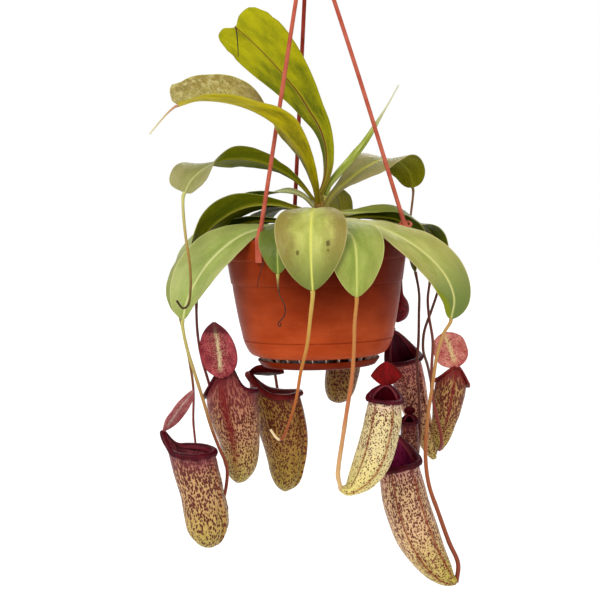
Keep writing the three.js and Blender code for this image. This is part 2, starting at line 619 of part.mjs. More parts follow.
function lidBlade(pitcher, scale) {
  const { length, half, along: way, side, bend } = pitcher.lid;
  const direction = vec(way).normalize();
  const across = vec(side);
  across.addScaledVector(direction, -across.dot(direction)).normalize();
  const up = direction.clone().cross(across);
  const start = cupPoint(pitcher, 1, Math.PI, -CUP_WALL / 2, 1.6 * scale);
  const top = [];
  const bottom = [];
  for (const v of [0, 0.14, 0.34, 0.56, 0.78, 0.94, 1]) {
    const turn = radians(bend) * v;
    const heading = direction.clone().multiplyScalar(Math.cos(turn)).addScaledVector(up, Math.sin(turn));
    const over = up.clone().multiplyScalar(Math.cos(turn)).addScaledVector(direction, -Math.sin(turn));
    const centre = start.clone().addScaledVector(heading, length * v);
    const width = Math.max(1.4, half * Math.sqrt(Math.max(0, 1 - (1.9 * v - 0.95) ** 2)));
    const row = [-1, -0.5, 0, 0.5, 1].map((s) =>
      centre.clone().addScaledVector(across, s * width).addScaledVector(over, -0.16 * width * s * s),
    );
    top.push(row);
    bottom.push(row.map((p) => p.clone().addScaledVector(over, -1.1)));
  }
  return sheetBody(top, bottom);
}

function lathe(profile, segments) {
  const points = profile.map(([r, z]) => new THREE.Vector2(r, z));
  return new THREE.LatheGeometry(points, segments).rotateX(Math.PI / 2);
}

function potBody() {
  const wall = POT_WALL;
  return lathe(
    [
      [0, POT_BASE_Z],
      [POT_BASE_RADIUS, POT_BASE_Z],
      [51.2, POT_BASE_Z + 1.6],
      [54.8, POT_BASE_Z + 6.4],
      [LOW_LINE_RADIUS, LOW_LINE_Z],
      [61.7, -57],
      [64.9, SECOND_BAND_Z - 0.7],
      [SECOND_BAND_LOW_RADIUS, SECOND_BAND_Z],
      [SECOND_BAND_TOP_RADIUS, -RIM_BAND_HEIGHT - 0.4],
      [RIM_RADIUS - 0.3, -RIM_BAND_HEIGHT],
      [RIM_RADIUS, -RIM_BAND_HEIGHT + 1],
      [RIM_RADIUS, -0.8],
      [RIM_RADIUS - 0.8, 0],
      [RIM_INNER_RADIUS, 0],
      [RIM_INNER_RADIUS - 0.5, -RIM_BAND_HEIGHT],
      [SECOND_BAND_LOW_RADIUS - wall - 0.3, SECOND_BAND_Z],
      [LOW_LINE_RADIUS - wall, LOW_LINE_Z],
      [50.5, POT_BASE_Z + 3.6],
      [46.5, POT_BASE_Z + wall],
      [0, POT_BASE_Z + wall],
    ],
    POT_SEGMENTS,
  );
}

function soilBody() {
  const gap = FIT_GAP + 0.25;
  const wall = POT_WALL + gap;
  const hole = STEM_RADIUS + FIT_GAP + 0.2;
  const innerTop = RIM_INNER_RADIUS - 0.5 - gap;
  const mass = lathe(
    [
      [0, POT_BASE_Z + wall],
      [46, POT_BASE_Z + wall],
      [49.6, POT_BASE_Z + 4.2],
      [LOW_LINE_RADIUS - wall, LOW_LINE_Z],
      [SECOND_BAND_LOW_RADIUS - wall - 0.3, SECOND_BAND_Z],
      [innerTop, -RIM_BAND_HEIGHT],
      [innerTop, SOIL_TOP_Z - 1],
      [40, SOIL_TOP_Z + 0.6],
      [0, SOIL_TOP_Z + 1.6],
    ],
    POT_SEGMENTS,
  );
  const low = stemAxis(STEM_BOTTOM_Z - FIT_GAP);
  const high = stemAxis(SOIL_TOP_Z + 6);
  const bore = tube([low, high], () => hole, 12, [0, 1]);
  return geometryFromSolid(solidOf(mass).subtract(solidOf(bore)));
}

function saucerBody() {
  const dish = lathe(
    [
      [0, SAUCER_FOOT_Z],
      [SAUCER_FOOT_RADIUS, SAUCER_FOOT_Z],
      [SAUCER_TOP_RADIUS, SAUCER_TOP_Z],
      [SAUCER_TOP_RADIUS - 1.4, SAUCER_TOP_Z],
      [SAUCER_FOOT_RADIUS - 1.3, SAUCER_FOOT_Z + 1.4],
      [0, SAUCER_FOOT_Z + 1.4],
    ],
    28,
  );
  const pegHeight = POT_BASE_Z - FIT_GAP - SAUCER_FOOT_Z - 0.6;
  const pegs = Array.from({ length: SAUCER_PEGS }, (_, i) => {
    const peg = new THREE.BoxGeometry(4.4, 1.3, pegHeight);
    peg.translate(PEG_RING_RADIUS, 0, SAUCER_FOOT_Z + 0.6 + pegHeight / 2);
    return peg.rotateZ((2 * Math.PI * (i + 0.5)) / SAUCER_PEGS);
  });
  return joined([dish, ...pegs]);
}

function stemBody() {
  const radiusAt = (place) => stemRadius(mix(STEM_BOTTOM_Z, STEM_TOP_Z, place));
  return tube([stemAxis(STEM_BOTTOM_Z), stemAxis(STEM_TOP_Z)], radiusAt, 10, [0, 0.38, 0.62, 0.74, 0.86, 0.95, 1]);
}

// A band bent over the rim, with the strand rising from it to the hub.
function strandBody(name) {
  const bearing = CLIP_BEARINGS[name];
  const out = outward(bearing);
  const at = (radius, z, across = 0) =>
    out.clone().multiplyScalar(radius).addScaledVector(sideways(bearing), across).setZ(z);
  const inside = RIM_INNER_RADIUS - 0.9;
  const outside = RIM_RADIUS + FIT_GAP;
  const t = CLIP_THICKNESS;
  const profile = [
    [outside, CLIP_LEG_Z],
    [outside + t, CLIP_LEG_Z],
    [outside + t, 1],
    [outside + t - 0.7, 2.6],
    [outside - 1, 3.4],
    [inside - 0.3, 3.2],
    [inside - t, 2],
    [inside - t, -7.5],
    [inside - 0.2, -7.5],
    [inside - 0.2, FIT_GAP + 0.2],
    [outside, FIT_GAP + 0.2],
  ];
  const outline = new THREE.Shape(profile.map(([r, z]) => new THREE.Vector2(r, z)));
  const clip = new THREE.ExtrudeGeometry(outline, { depth: CLIP_WIDTH, bevelEnabled: false });
  clip.translate(0, 0, -CLIP_WIDTH / 2);
  clip.applyMatrix4(new THREE.Matrix4().makeBasis(out, vec([0, 0, 1]), sideways(bearing).negate()));
  const foot = at(RIM_RADIUS - 0.6, 3.6);
  const top = at(2.6, HUB_Z - HUB_HALF_HEIGHT + 1.6);
  const middle = foot.clone().lerp(top, 0.5).addScaledVector(out, STRAND_BOW[name]);
  const strand = tube([foot, middle, top].map((p) => p.toArray()), () => STRAND_RADIUS, 6, evenly(6));
  const pieces = [clip, strand];
  if (name === "strand_right") {
    const ring = new THREE.TorusGeometry(RING_RADIUS, RING_WIRE, 6, 14);
    ring.rotateX(radians(8));
    ring.translate(...at(RIM_RADIUS - 3.4, 5.2, 0).toArray());
    pieces.push(ring);
  }
  return joined(pieces);
}

// The hub that takes the three strands, with the rod and hook above it.
function hookBody() {
  const hub = lathe(
    [
      [0, HUB_Z - HUB_HALF_HEIGHT],
      [HUB_RADIUS, HUB_Z - HUB_HALF_HEIGHT],
      [HUB_RADIUS, HUB_Z + 1],
      [HOOK_ROD + 0.8, HUB_Z + HUB_HALF_HEIGHT],
      [0, HUB_Z + HUB_HALF_HEIGHT],
    ],
    16,
  );
  const centreZ = -RIM_Z - HOOK_INNER_RADIUS;
  const turn = HOOK_INNER_RADIUS + HOOK_ROD;
  const bend = (degrees) => [turn * Math.cos(radians(degrees)), 0, centreZ + turn * Math.sin(radians(degrees))];
  const turns = [-38, -5, 30, 65, 100, 135, 170, 200];
  const path = [[0, 0, HUB_Z], [0, 0, HUB_Z + 9], [5, 0, HUB_Z + 15.5], ...turns.map(bend)];
  const rod = tube(path, () => HOOK_ROD, 7, evenly(18));
  return { hub, rod };
}

function hookWithSockets() {
  const { hub, rod } = hookBody();
  let whole = solidOf(hub).add(solidOf(rod));
  for (const [name, bearing] of Object.entries(CLIP_BEARINGS)) {
    const out = outward(bearing);
    const foot = out.clone().multiplyScalar(RIM_RADIUS - 0.6).setZ(3.6);
    const top = out.clone().multiplyScalar(2.6).setZ(HUB_Z - HUB_HALF_HEIGHT + 1.6);
    const middle = foot.clone().lerp(top, 0.5).addScaledVector(out, STRAND_BOW[name]);
    const curve = curveThrough([foot, middle, top].map((p) => p.toArray()));
    const low = curve.getPointAt(0.94);
    const beyond = top.clone().addScaledVector(curve.getTangentAt(1), FIT_GAP);
    const line = [low, top, beyond].map((p) => p.toArray());
    const socket = tube(line, () => STRAND_RADIUS + FIT_GAP + 0.15, 8, [0, 0.5, 1]);
    whole = whole.subtract(solidOf(socket));
  }
  return geometryFromSolid(whole);
}

function budBody() {
  return tube(BUD.path, (place) => along(BUD.girth, place), 10, evenly(9));
}

function spearBody() {
  return tube(SPEAR.path, (place) => along(SPEAR.girth, place), 6, evenly(12));
}

// Materials
const plastic = (color) => new THREE.MeshStandardMaterial({ color, roughness: 0.4, metalness: 0 });
const plant = (color, roughness = 0.5) => new THREE.MeshStandardMaterial({ color, roughness, metalness: 0 });
const terracotta = plastic(0xb8512c);
const coral = plastic(0xd9705f);
const bark = plant(0x3a2a1e, 0.95);
const woody = plant(0x9a6a3e);
const leafGreen = plant(0x7d9650);
const youngGreen = plant(0x8f9e22);
const tendrilBrown = plant(0xb8743e);
const cupSpotted = plant(0xc2a860, 0.4);
const collarRed = plant(0x5a1220, 0.3);

const root = new THREE.Group();
const fromRim = new THREE.Group();
fromRim.position.z = RIM_Z;
root.add(fromRim);

function add(name, geometry, material) {
  const mesh = new THREE.Mesh(geometry, material);
  mesh.name = name;
  fromRim.add(mesh);
}

add("hook", hookWithSockets(), coral);
for (const name of Object.keys(CLIP_BEARINGS)) add(name, strandBody(name), coral);
add("pot", potBody(), terracotta);
add("saucer", saucerBody(), terracotta);
add("soil", soilBody(), bark);
add("stem", stemBody(), woody);
add("leaf_04", spearBody(), youngGreen);
for (const [name, leaf] of Object.entries(LEAVES)) {
  add(name, leafBlade(leaf), ["leaf_01", "leaf_02"].includes(name) ? youngGreen : leafGreen);
}
for (const [name, tendril] of Object.entries(TENDRILS)) add(name, tendrilBody(tendril), tendrilBrown);
for (const [name, pitcher] of Object.entries(PITCHERS)) {
  add(name + "_cup", cupBody(pitcher), cupSpotted);
  add(name + "_lid", collarAndLid(pitcher, name === "pitcher_9" ? 0.8 : 1), collarRed);
}
add("bud", budBody(), collarRed);

export default root;
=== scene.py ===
"""Tropical pitcher plant in a hanging pot, with its plastic hanger.

Sizes are in millimetres, and points are given from the centre of the pot's rim. The tables hold the lines,
sizes and colours of each leaf, tendril and pitcher. A function for each kind of piece turns them into a
mesh, and one for each kind of surface into a material.
"""
import math
import random

import bmesh
import bpy
from mathutils import Matrix, Vector, noise


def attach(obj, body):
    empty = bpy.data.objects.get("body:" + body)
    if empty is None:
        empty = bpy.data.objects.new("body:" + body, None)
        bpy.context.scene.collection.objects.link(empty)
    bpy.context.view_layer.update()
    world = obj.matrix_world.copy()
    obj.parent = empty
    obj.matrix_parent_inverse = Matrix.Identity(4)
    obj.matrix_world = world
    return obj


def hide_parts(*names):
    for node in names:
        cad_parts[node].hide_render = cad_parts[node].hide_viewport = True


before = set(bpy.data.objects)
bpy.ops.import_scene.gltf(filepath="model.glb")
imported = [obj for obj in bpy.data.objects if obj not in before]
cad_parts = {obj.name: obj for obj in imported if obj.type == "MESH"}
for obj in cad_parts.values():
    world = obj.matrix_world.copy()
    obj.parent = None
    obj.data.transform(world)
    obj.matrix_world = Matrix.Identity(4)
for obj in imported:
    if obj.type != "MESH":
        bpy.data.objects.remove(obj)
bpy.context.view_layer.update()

MM = 0.001
RIM_Z = -280

# Pot, saucer and soil
RIM_RADIUS = 70
RIM_INNER_RADIUS = 68.4
RIM_BAND_HEIGHT = 16
SECOND_BAND_TOP_RADIUS = 68.6
SECOND_BAND_LOW_RADIUS = 66
SECOND_BAND_Z = -34.4
LOW_LINE_RADIUS = 57.5
LOW_LINE_Z = -78
POT_BASE_RADIUS = 48
POT_BASE_Z = -91
POT_WALL = 1.6
POT_SIDES = 160
SOIL_TOP_Z = -10
SAUCER_TOP_RADIUS = 46.8
SAUCER_FOOT_RADIUS = 43.5
SAUCER_TOP_Z = -93.4
SAUCER_FOOT_Z = -99
SAUCER_FLOOR = 1.4
SAUCER_SIDES = 120
SAUCER_PEGS = 28
PEG_RING_RADIUS = 42.6

# Bark chips on the soil: their count, and how near and far they lie from the middle of the pot
BARK_CHIPS = 230
BARK_NEAR = 9
BARK_FAR = 60

# Hanger: plan directions of the clips, and how far each strand bows out
CLIP_BEARINGS = {"strand_left": -37, "strand_right": 82, "strand_back": -166}
STRAND_BOW = {"strand_left": 0, "strand_right": 1, "strand_back": 0}
STRAND_RADIUS = 1.6
CLIP_WIDTH = 5.8
CLIP_THICKNESS = 1.8
CLIP_LEG_Z = -16.5
CLIP_BACK_Z = -7.5
WEB_WIDTH = 2.6
RING_Z = 7.6
RING_RADIUS = 4.2
RING_WIRE = 0.9
RING_TILT = 26
HUB_Z = 233
HUB_RADIUS = 6.5
HUB_HALF_HEIGHT = 5
HOOK_ROD = 2.3
HOOK_INNER_RADIUS = 14

# Stem. It narrows from STEM_TAPER_Z up, and leans a little to the right.
STEM_RADIUS = 4.4
STEM_TOP_RADIUS = 2.6
STEM_BOTTOM_Z = -42
STEM_TOP_Z = 33.2
STEM_TAPER_Z = 8
STEM_X = 2
STEM_LEAN = 0.035

# Leaves. The stalk has its full width at STALK_PART of the length, and the blade starts at BLADE_START.
LEAF_THICKNESS = 0.9
MARGIN_THICKNESS = 0.45
KEEL_DEPTH = 0.9
KEEL_HALF_WIDTH = 1.1
GROOVE_DEPTH = 0.28
GROOVE_HALF_WIDTH = 0.8
LEAF_RIPPLE = 0.9
LEAF_SEAT_GAP = 0.6
STALK_DEPTH = 2.4
STALK_PART = 0.16
BLADE_START = 0.06
LEAF_ROWS = 72
LEAF_COLUMNS = 14

# Tendrils and withered threads
TENDRIL_SIDES = 10
TENDRIL_STEP = 2.5
TENDRIL_LEAD = 2.5
THREAD_SIDES = 7
THREAD_STEP = 1.2

# Pitchers. The neck and the rim start at these parts of the spine.
NECK_START = 0.62
RIM_START = 0.8
CUP_ROWS = 56
CUP_COLUMNS = 60
CUP_INNER_ROWS = (1, 0.95, 0.88, 0.8, 0.7, 0.58, 0.45, 0.33, 0.22)
CUP_WALL = 1.2
WING_ANGLE = 30
WING_SPREAD = 2
WING_HEIGHT = 1.9
COLLAR_RIB_WIDTH = 1.05
COLLAR_RIB_HEIGHT = 0.3
LID_THICKNESS = 1.0
LID_EDGE_THICKNESS = 0.5
LID_END_HALF_WIDTH = 1.4
LID_RIDGE = 0.5
LID_ROWS = 30
LID_COLUMNS = 8

# Section of the collar: how far each point stands out from the middle of the wall, and above it. The ribs
# show on some of the points, and the hem waves at others.
COLLAR_SECTION = [
    (1.0, 1.4), (2.0, 0.6), (3.0, -0.7), (3.5, 0.4), (3.2, 1.7), (2.2, 2.7), (0.9, 3.2), (-0.5, 2.9),
    (-1.7, 1.9), (-2.4, 0.5), (-2.6, -1.2), (-1.7, -0.6), (-0.8, 1.1),
]
COLLAR_RIBBED = range(3, 11)
COLLAR_HEM = range(1, 4)

# Camera: where it stands and looks, and how many degrees it is turned about its own line of sight
CAMERA_PLACE = (-13.3, -1595.7, -211.7)
CAMERA_TARGET = (-13.3, 0, -328.9)
CAMERA_ROLL = 1.43
CAMERA_LENS = 125.16
CAMERA_SENSOR = 36
CAMERA_REACH = 60

# Surroundings, in metres and watts. Lights: place, size and power.
FLOOR_Z = -1.3
FLOOR_HALF_SIZE = 16
LIGHT_TARGET = (0, 0, -0.35)
LIGHTS = {
    "key_light": ((-1.0, -1.7, 1.1), 1.3, 46),
    "fill_light": ((1.7, -1.2, 0.1), 1.4, 8),
    "back_light": ((0.5, 1.8, 0.9), 1.2, 16),
}

# The share of its own colour that a surface reflects, under lights that are brighter than white
REFLECTED = 0.53

# What most leaves share. widest: the part of the length at which a leaf is widest. base, neck: half width
# of the stalk at the stem and further out. blunt: the smaller it is, the rounder the tip. tip: half width
# at the very end. skew: how much wider the right half is than the left at the tip. lobes: how far the left
# and right halves reach past the midrib, and how far their corners fall back. fold: slope of each half, at
# the stalk and at the tip. roll: degrees that the right-hand side is turned up, at parts of the length.
USUAL_LEAF = dict(
    widest=0.6, base=2, neck=3, blunt=0.6, tip=1.2, skew=0, lobes=[0, 0, 0], fold=[0.25, 0.12],
    roll=[[0, 0], [1, 0]],
)

# Leaves. bearing: plan direction, 0 towards the front and 90 to the right. attach: height on the stem.
# start: the first point of the midrib, where that isn't straight out from the stem. path: its other points.
# half: the greatest half width.
LEAVES = {
    "leaf_01": dict(
        bearing=-82, start=[5, -0.5, 34.2], half=23, widest=0.9, base=4, neck=5.8, blunt=0.3, tip=22,
        skew=0.15, lobes=[6, 3.5, 14], fold=[0.35, 0.12], roll=[[0, 20], [0.3, 45], [0.6, 62], [1, 66]],
        path=[[9, 1, 45], [10.5, 3, 58], [9.5, 3, 70], [5.5, 2, 83], [-1.5, 1, 95], [-10, 0, 109],
            [-21, -2, 123], [-35, -5, 139], [-48, -8, 152], [-57, -10, 160]],
    ),
    "leaf_02": dict(
        bearing=-66, start=[1.8, -3.7, 26], half=22.5, widest=0.74, base=3.4, neck=5, blunt=0.3, tip=16,
        skew=-0.3, lobes=[4, 0, 3],
        fold=[0.6, 0.9], roll=[[0, 6], [0.3, 26], [0.42, 28], [0.56, 0], [0.7, -26], [1, -30]],
        path=[[-1, -17.5, 39.5], [-6, -33, 55.5], [-14.5, -48.5, 70.5], [-27, -60, 85],
            [-41, -66, 94.5], [-56, -69, 100.5], [-71, -70, 103.5], [-85, -70, 104], [-98, -70, 100.5]],
    ),
    "leaf_03": dict(
        bearing=-72, start=[-1, 1.4, 28.2], half=18, widest=0.66, neck=3.6, blunt=0.3, skew=-0.3,
        fold=[0.45, 0.2], roll=[[0, 10], [0.35, 30], [0.6, 28], [0.74, 2], [0.88, -42], [1, -60]],
        path=[[-11, -3, 40], [-22, -8, 49], [-38, -14, 57], [-55, -20, 61], [-71, -26, 60],
            [-84, -33, 53], [-93, -39, 44.5], [-97, -43, 36.5]],
    ),
    "leaf_05": dict(
        bearing=126, attach=20, half=18, widest=0.62, neck=3.2, blunt=0.42,
        fold=[0.3, 0.15], roll=[[0, 20], [0.4, 30], [0.62, 12], [0.85, -30], [1, -40]],
        path=[[15, 10, 32], [27, 18, 42], [40, 27, 51], [54, 37, 57], [66, 46, 56], [75, 53, 47],
            [78, 57, 34]],
    ),
    "leaf_06": dict(
        bearing=160, attach=17, half=11, widest=0.55, blunt=0.55, fold=[0.3, 0.15],
        path=[[8, 15, 29], [13, 30, 33], [17, 47, 31], [20, 64, 22], [21, 78, 6], [20, 85, -14]],
    ),
    "leaf_07": dict(
        bearing=-115, attach=22, half=14.5, blunt=0.5, fold=[0.35, 0.2],
        roll=[[0, -36], [0.16, -34], [0.28, 20], [0.44, 30], [0.56, -6], [0.72, -34], [1, -40]],
        path=[[-8, 6, 30], [-19, 12, 34.5], [-33, 18, 34], [-51, 26, 28], [-70, 34, 17], [-88, 41, 3],
            [-103, 46, -14], [-112, 49, -33], [-115, 50, -50]],
    ),
    "leaf_08": dict(
        bearing=-82, attach=18, half=19, widest=0.5, neck=3.4, blunt=0.55,
        fold=[0.45, 0.2], roll=[[0, 10], [0.25, 44], [0.5, 36], [0.72, -6], [1, -46]],
        path=[[-17, -2, 22.5], [-36, -4, 25.5], [-55, -7, 23.5], [-72, -10, 15.5], [-86, -14, 3.5],
            [-97, -18, -10], [-104, -22, -25], [-107, -25, -41], [-104, -27, -57]],
    ),
    "leaf_10": dict(
        bearing=-54, attach=12, half=18, neck=2.6, blunt=0.62, skew=-0.35,
        fold=[0.25, 0.14], roll=[[0, -6], [0.3, -14], [0.6, -30], [1, -44]],
        path=[[-17, -15, 11], [-30, -25, 9], [-43, -34, 7.5], [-56, -42, 3.5], [-69, -48.5, -5],
            [-81.5, -54, -17], [-91, -58, -31], [-97.5, -61, -45], [-100, -62, -57]],
    ),
    "leaf_11": dict(
        bearing=0, attach=16, half=27, widest=0.62, neck=3.2, blunt=0.72, fold=[0.25, 0.1],
        path=[[2, -12, 20.5], [1, -27, 22], [-1, -45, 22], [-3, -62, 19], [-4, -75, 10.5],
            [-4.5, -83, -3], [-4.5, -88, -20], [-4, -90, -36]],
    ),
    "leaf_12": dict(
        bearing=-22, attach=6, half=17, neck=2.8, blunt=0.66,
        path=[[-5, -13, 10], [-11, -26, 12], [-18, -42, 11], [-24, -58, 8], [-28, -69, 1],
            [-29, -75, -9], [-29, -77, -24]],
    ),
    "leaf_13": dict(
        bearing=17, attach=8, half=22.5, blunt=0.7, fold=[0.25, 0.1], roll=[[0, 0], [1, 6]],
        path=[[6, -14, 11], [11, -27, 12], [17, -43, 10.5], [22.5, -59, 7], [27, -70.5, 0],
            [28.5, -78, -10], [28.5, -81.5, -24], [28, -82, -42]],
    ),
    "leaf_14": dict(
        bearing=60, attach=12, half=17.5, widest=0.62, neck=6.5, blunt=0.5, skew=0.15,
        fold=[0.22, 0.14], roll=[[0, 6], [0.2, 12], [0.4, 15], [0.6, 28], [0.8, 38], [1, 40]],
        path=[[16, -10.5, 12.5], [29, -22, 11], [44, -34.5, 8], [59, -45.5, 1.7], [75, -51.5, -8.5],
            [88, -54, -20.5], [97, -54.5, -33.5], [101, -54, -47.5], [98.5, -52, -62]],
    ),
    "leaf_15": dict(
        bearing=106, attach=16, half=15, blunt=0.55,
        fold=[0.3, 0.18], roll=[[0, 20], [0.3, 42], [0.55, 26], [0.8, -20], [1, -44]],
        path=[[16, 6, 17], [30, 11, 16.5], [46, 17, 15.5], [62, 24, 13], [77, 30, 8.5],
            [89, 34, 2], [96, 36, -13], [98, 36.5, -28]],
    ),
    "leaf_17": dict(
        bearing=86, attach=6, half=11, widest=0.62, neck=2.8, blunt=0.55,
        fold=[0.3, 0.15], roll=[[0, -26], [0.5, -30], [1, -40]],
        path=[[16, 3, 11], [31, 7, 13.5], [48, 10, 13.5], [65, 12, 10], [78, 12.5, 0],
            [85, 11.5, -16], [87, 9.5, -34]],
    ),
    "leaf_18": dict(
        bearing=-92, attach=4, half=11.5, neck=2.8, blunt=0.55,
        fold=[0.3, 0.15], roll=[[0, 26], [0.5, 30], [1, -30]],
        path=[[-14, 2, 9], [-30, 4, 12], [-47, 7, 12], [-64, 9, 8], [-78, 10.5, -1], [-87, 10, -15],
            [-92, 8, -32], [-93, 5, -50]],
    ),
    "leaf_19": dict(
        bearing=-138, attach=10, half=15,
        path=[[-6, 14, 17], [-18, 28, 21], [-31, 42, 20], [-43, 55, 13], [-51, 65, 1], [-55, 71, -16],
            [-55, 74, -36]],
    ),
    "leaf_20": dict(
        bearing=118, attach=3, half=11, neck=2.8,
        path=[[16, 9, 6.5], [30, 17, 9], [44, 25, 9], [57, 32, 6], [68, 37, -1.5], [75, 41, -15],
            [78, 42, -32]],
    ),
}

# The new leaf, still rolled up, ends in a pale thread.
SPEAR = dict(
    path=[[8, 1.4, 31], [11, 2.9, 38], [18, 6, 46.5], [29, 10, 58], [41, 14, 73], [51, 17, 88],
        [60, 20, 102], [67, 22, 114]],
    girth=[[0, 2.2], [0.25, 3], [0.5, 2.6], [0.68, 1.5], [0.8, 0.7], [1, 0.5]],
)

# Tendrils: from the tip of a leaf, through the points, to the foot of a pitcher or the bud where there is
# one. girth, end: radius at the leaf and at the far end.
TENDRILS = {
    "tendril_02": dict(
        leaf="leaf_02", girth=0.8, end=0.5,
        path=[[-107, -70, 94.5], [-114, -70, 87], [-120, -70, 80]],
    ),
    "tendril_03": dict(
        leaf="leaf_03", girth=1.2, end=0.8,
        path=[[-98, -52, 23], [-96, -63, 3], [-93, -73, -18], [-93, -79, -35], [-95, -81, -45],
            [-98.5, -82, -47], [-103, -83, -41]],
    ),
    "tendril_11": dict(
        leaf="leaf_11", girth=1.5, end=0.9,
        path=[[-6, -92, -54], [-9, -94, -75], [-14, -95, -94], [-18, -96.5, -114], [-24, -98, -132],
            [-29.5, -98.5, -143], [-33, -98, -141], [-37, -98, -135]],
    ),
    "tendril_12": dict(leaf="leaf_12", girth=1, end=0.6, path=[[-29, -79, -31], [-28.5, -80, -37]]),
    "tendril_10": dict(
        leaf="leaf_10", pitcher="pitcher_1", girth=1.2, end=1.3,
        path=[[-98, -60, -77], [-93, -58, -96], [-87, -55, -118], [-82, -47, -139], [-77, -33, -157],
            [-72, -25, -173], [-73, -24, -188], [-78, -24, -206], [-84, -27, -223]],
    ),
    "tendril_08": dict(
        leaf="leaf_08", girth=1.1, end=0.8,
        path=[[-101, -27, -74], [-98, -24, -92], [-96, -19, -114], [-97, -14, -139], [-96, -12, -156],
            [-95, -11, -176]],
    ),
    "tendril_18": dict(
        leaf="leaf_18", pitcher="pitcher_2", girth=1, end=1.3,
        path=[[-93, 6, -71], [-91, 10, -90], [-86, 17, -112], [-80, 21, -136], [-74, 20, -158],
            [-69, 15, -178]],
    ),
    "tendril_19": dict(
        leaf="leaf_19", pitcher="pitcher_3", girth=1.1, end=1.3,
        path=[[-52, 78, -58], [-43, 80, -82], [-36, 79, -108], [-32, 76, -140], [-30, 72, -170],
            [-29, 64, -194]],
    ),
    "tendril_06": dict(
        leaf="leaf_06", pitcher="pitcher_4", girth=1.1, end=1.3,
        path=[[19, 94, -32], [19, 104, -55], [18, 108, -85], [17, 107, -112], [16, 101, -132]],
    ),
    "tendril_13": dict(
        leaf="leaf_13", pitcher="pitcher_5", girth=1.3, end=1.7,
        path=[[26, -85, -60], [25, -88, -78], [23, -90, -100], [19, -91, -122], [15, -91, -145],
            [11.8, -89, -164], [11.2, -87.5, -172], [12.4, -84.5, -178.5]],
    ),
    "tendril_15": dict(
        leaf="leaf_15", pitcher="pitcher_6", girth=1, end=1.3,
        path=[[95, 33, -46], [89, 28, -62], [83, 26, -78], [82, 28, -92], [86, 42, -106],
            [90, 58, -124], [94, 64, -148], [94, 60, -170]],
    ),
    "tendril_14": dict(
        leaf="leaf_14", pitcher="pitcher_7", girth=1.2, end=1.8,
        path=[[93, -48.5, -73], [88, -47, -89], [84, -44, -113], [80, -39, -140], [78.5, -34, -168],
            [81, -29, -190], [88, -24, -212], [96, -18, -236], [103, -13.5, -254]],
    ),
    "tendril_17": dict(
        leaf="leaf_17", pitcher="pitcher_8", girth=1, end=1.3,
        path=[[85, 4, -50], [85, -5, -63], [87, -14, -82], [85.5, -18, -101], [85, -18, -118],
            [88, -15, -136], [91.5, -11, -151], [92.8, -5, -162]],
    ),
    "tendril_20": dict(
        leaf="leaf_20", pitcher="pitcher_9", girth=1, end=1.3,
        path=[[80, 33, -48], [79, 23, -64], [78, 19, -84], [76.5, 19, -102], [77.5, 24, -122],
            [78, 27, -145], [77, 29, -168], [74, 30, -184]],
    ),
    "tendril_05": dict(leaf="leaf_05", bud=True, girth=0.9, end=0.9, path=[[76, 56, 12], [73, 53, -8]]),
}

# What most pitchers share. peak: how steep the neck at the back of the mouth is. tilt: how much the whole
# mouth slants up to the back. hood: a raised piece of the rim, as its direction, spread and height. pinch:
# how far the neck leans in. collar: size of the collar. scallop, waves: depth of the waves in its hem, and
# their count in each half.
USUAL_PITCHER = dict(peak=3.2, tilt=0, hood=None, pinch=0.22, collar=0.8, scallop=0.4, waves=9)

# What most lids share. bend: degrees that the lid curls along its length, toward its upper side. widest: the
# part at which it is widest. square: how square it is. taper: how slender its end is. seat: how far out and
# down its foot is from the top of the neck.
USUAL_LID = dict(bend=0, widest=0.5, square=2, taper=0.6, seat=(0, 0))

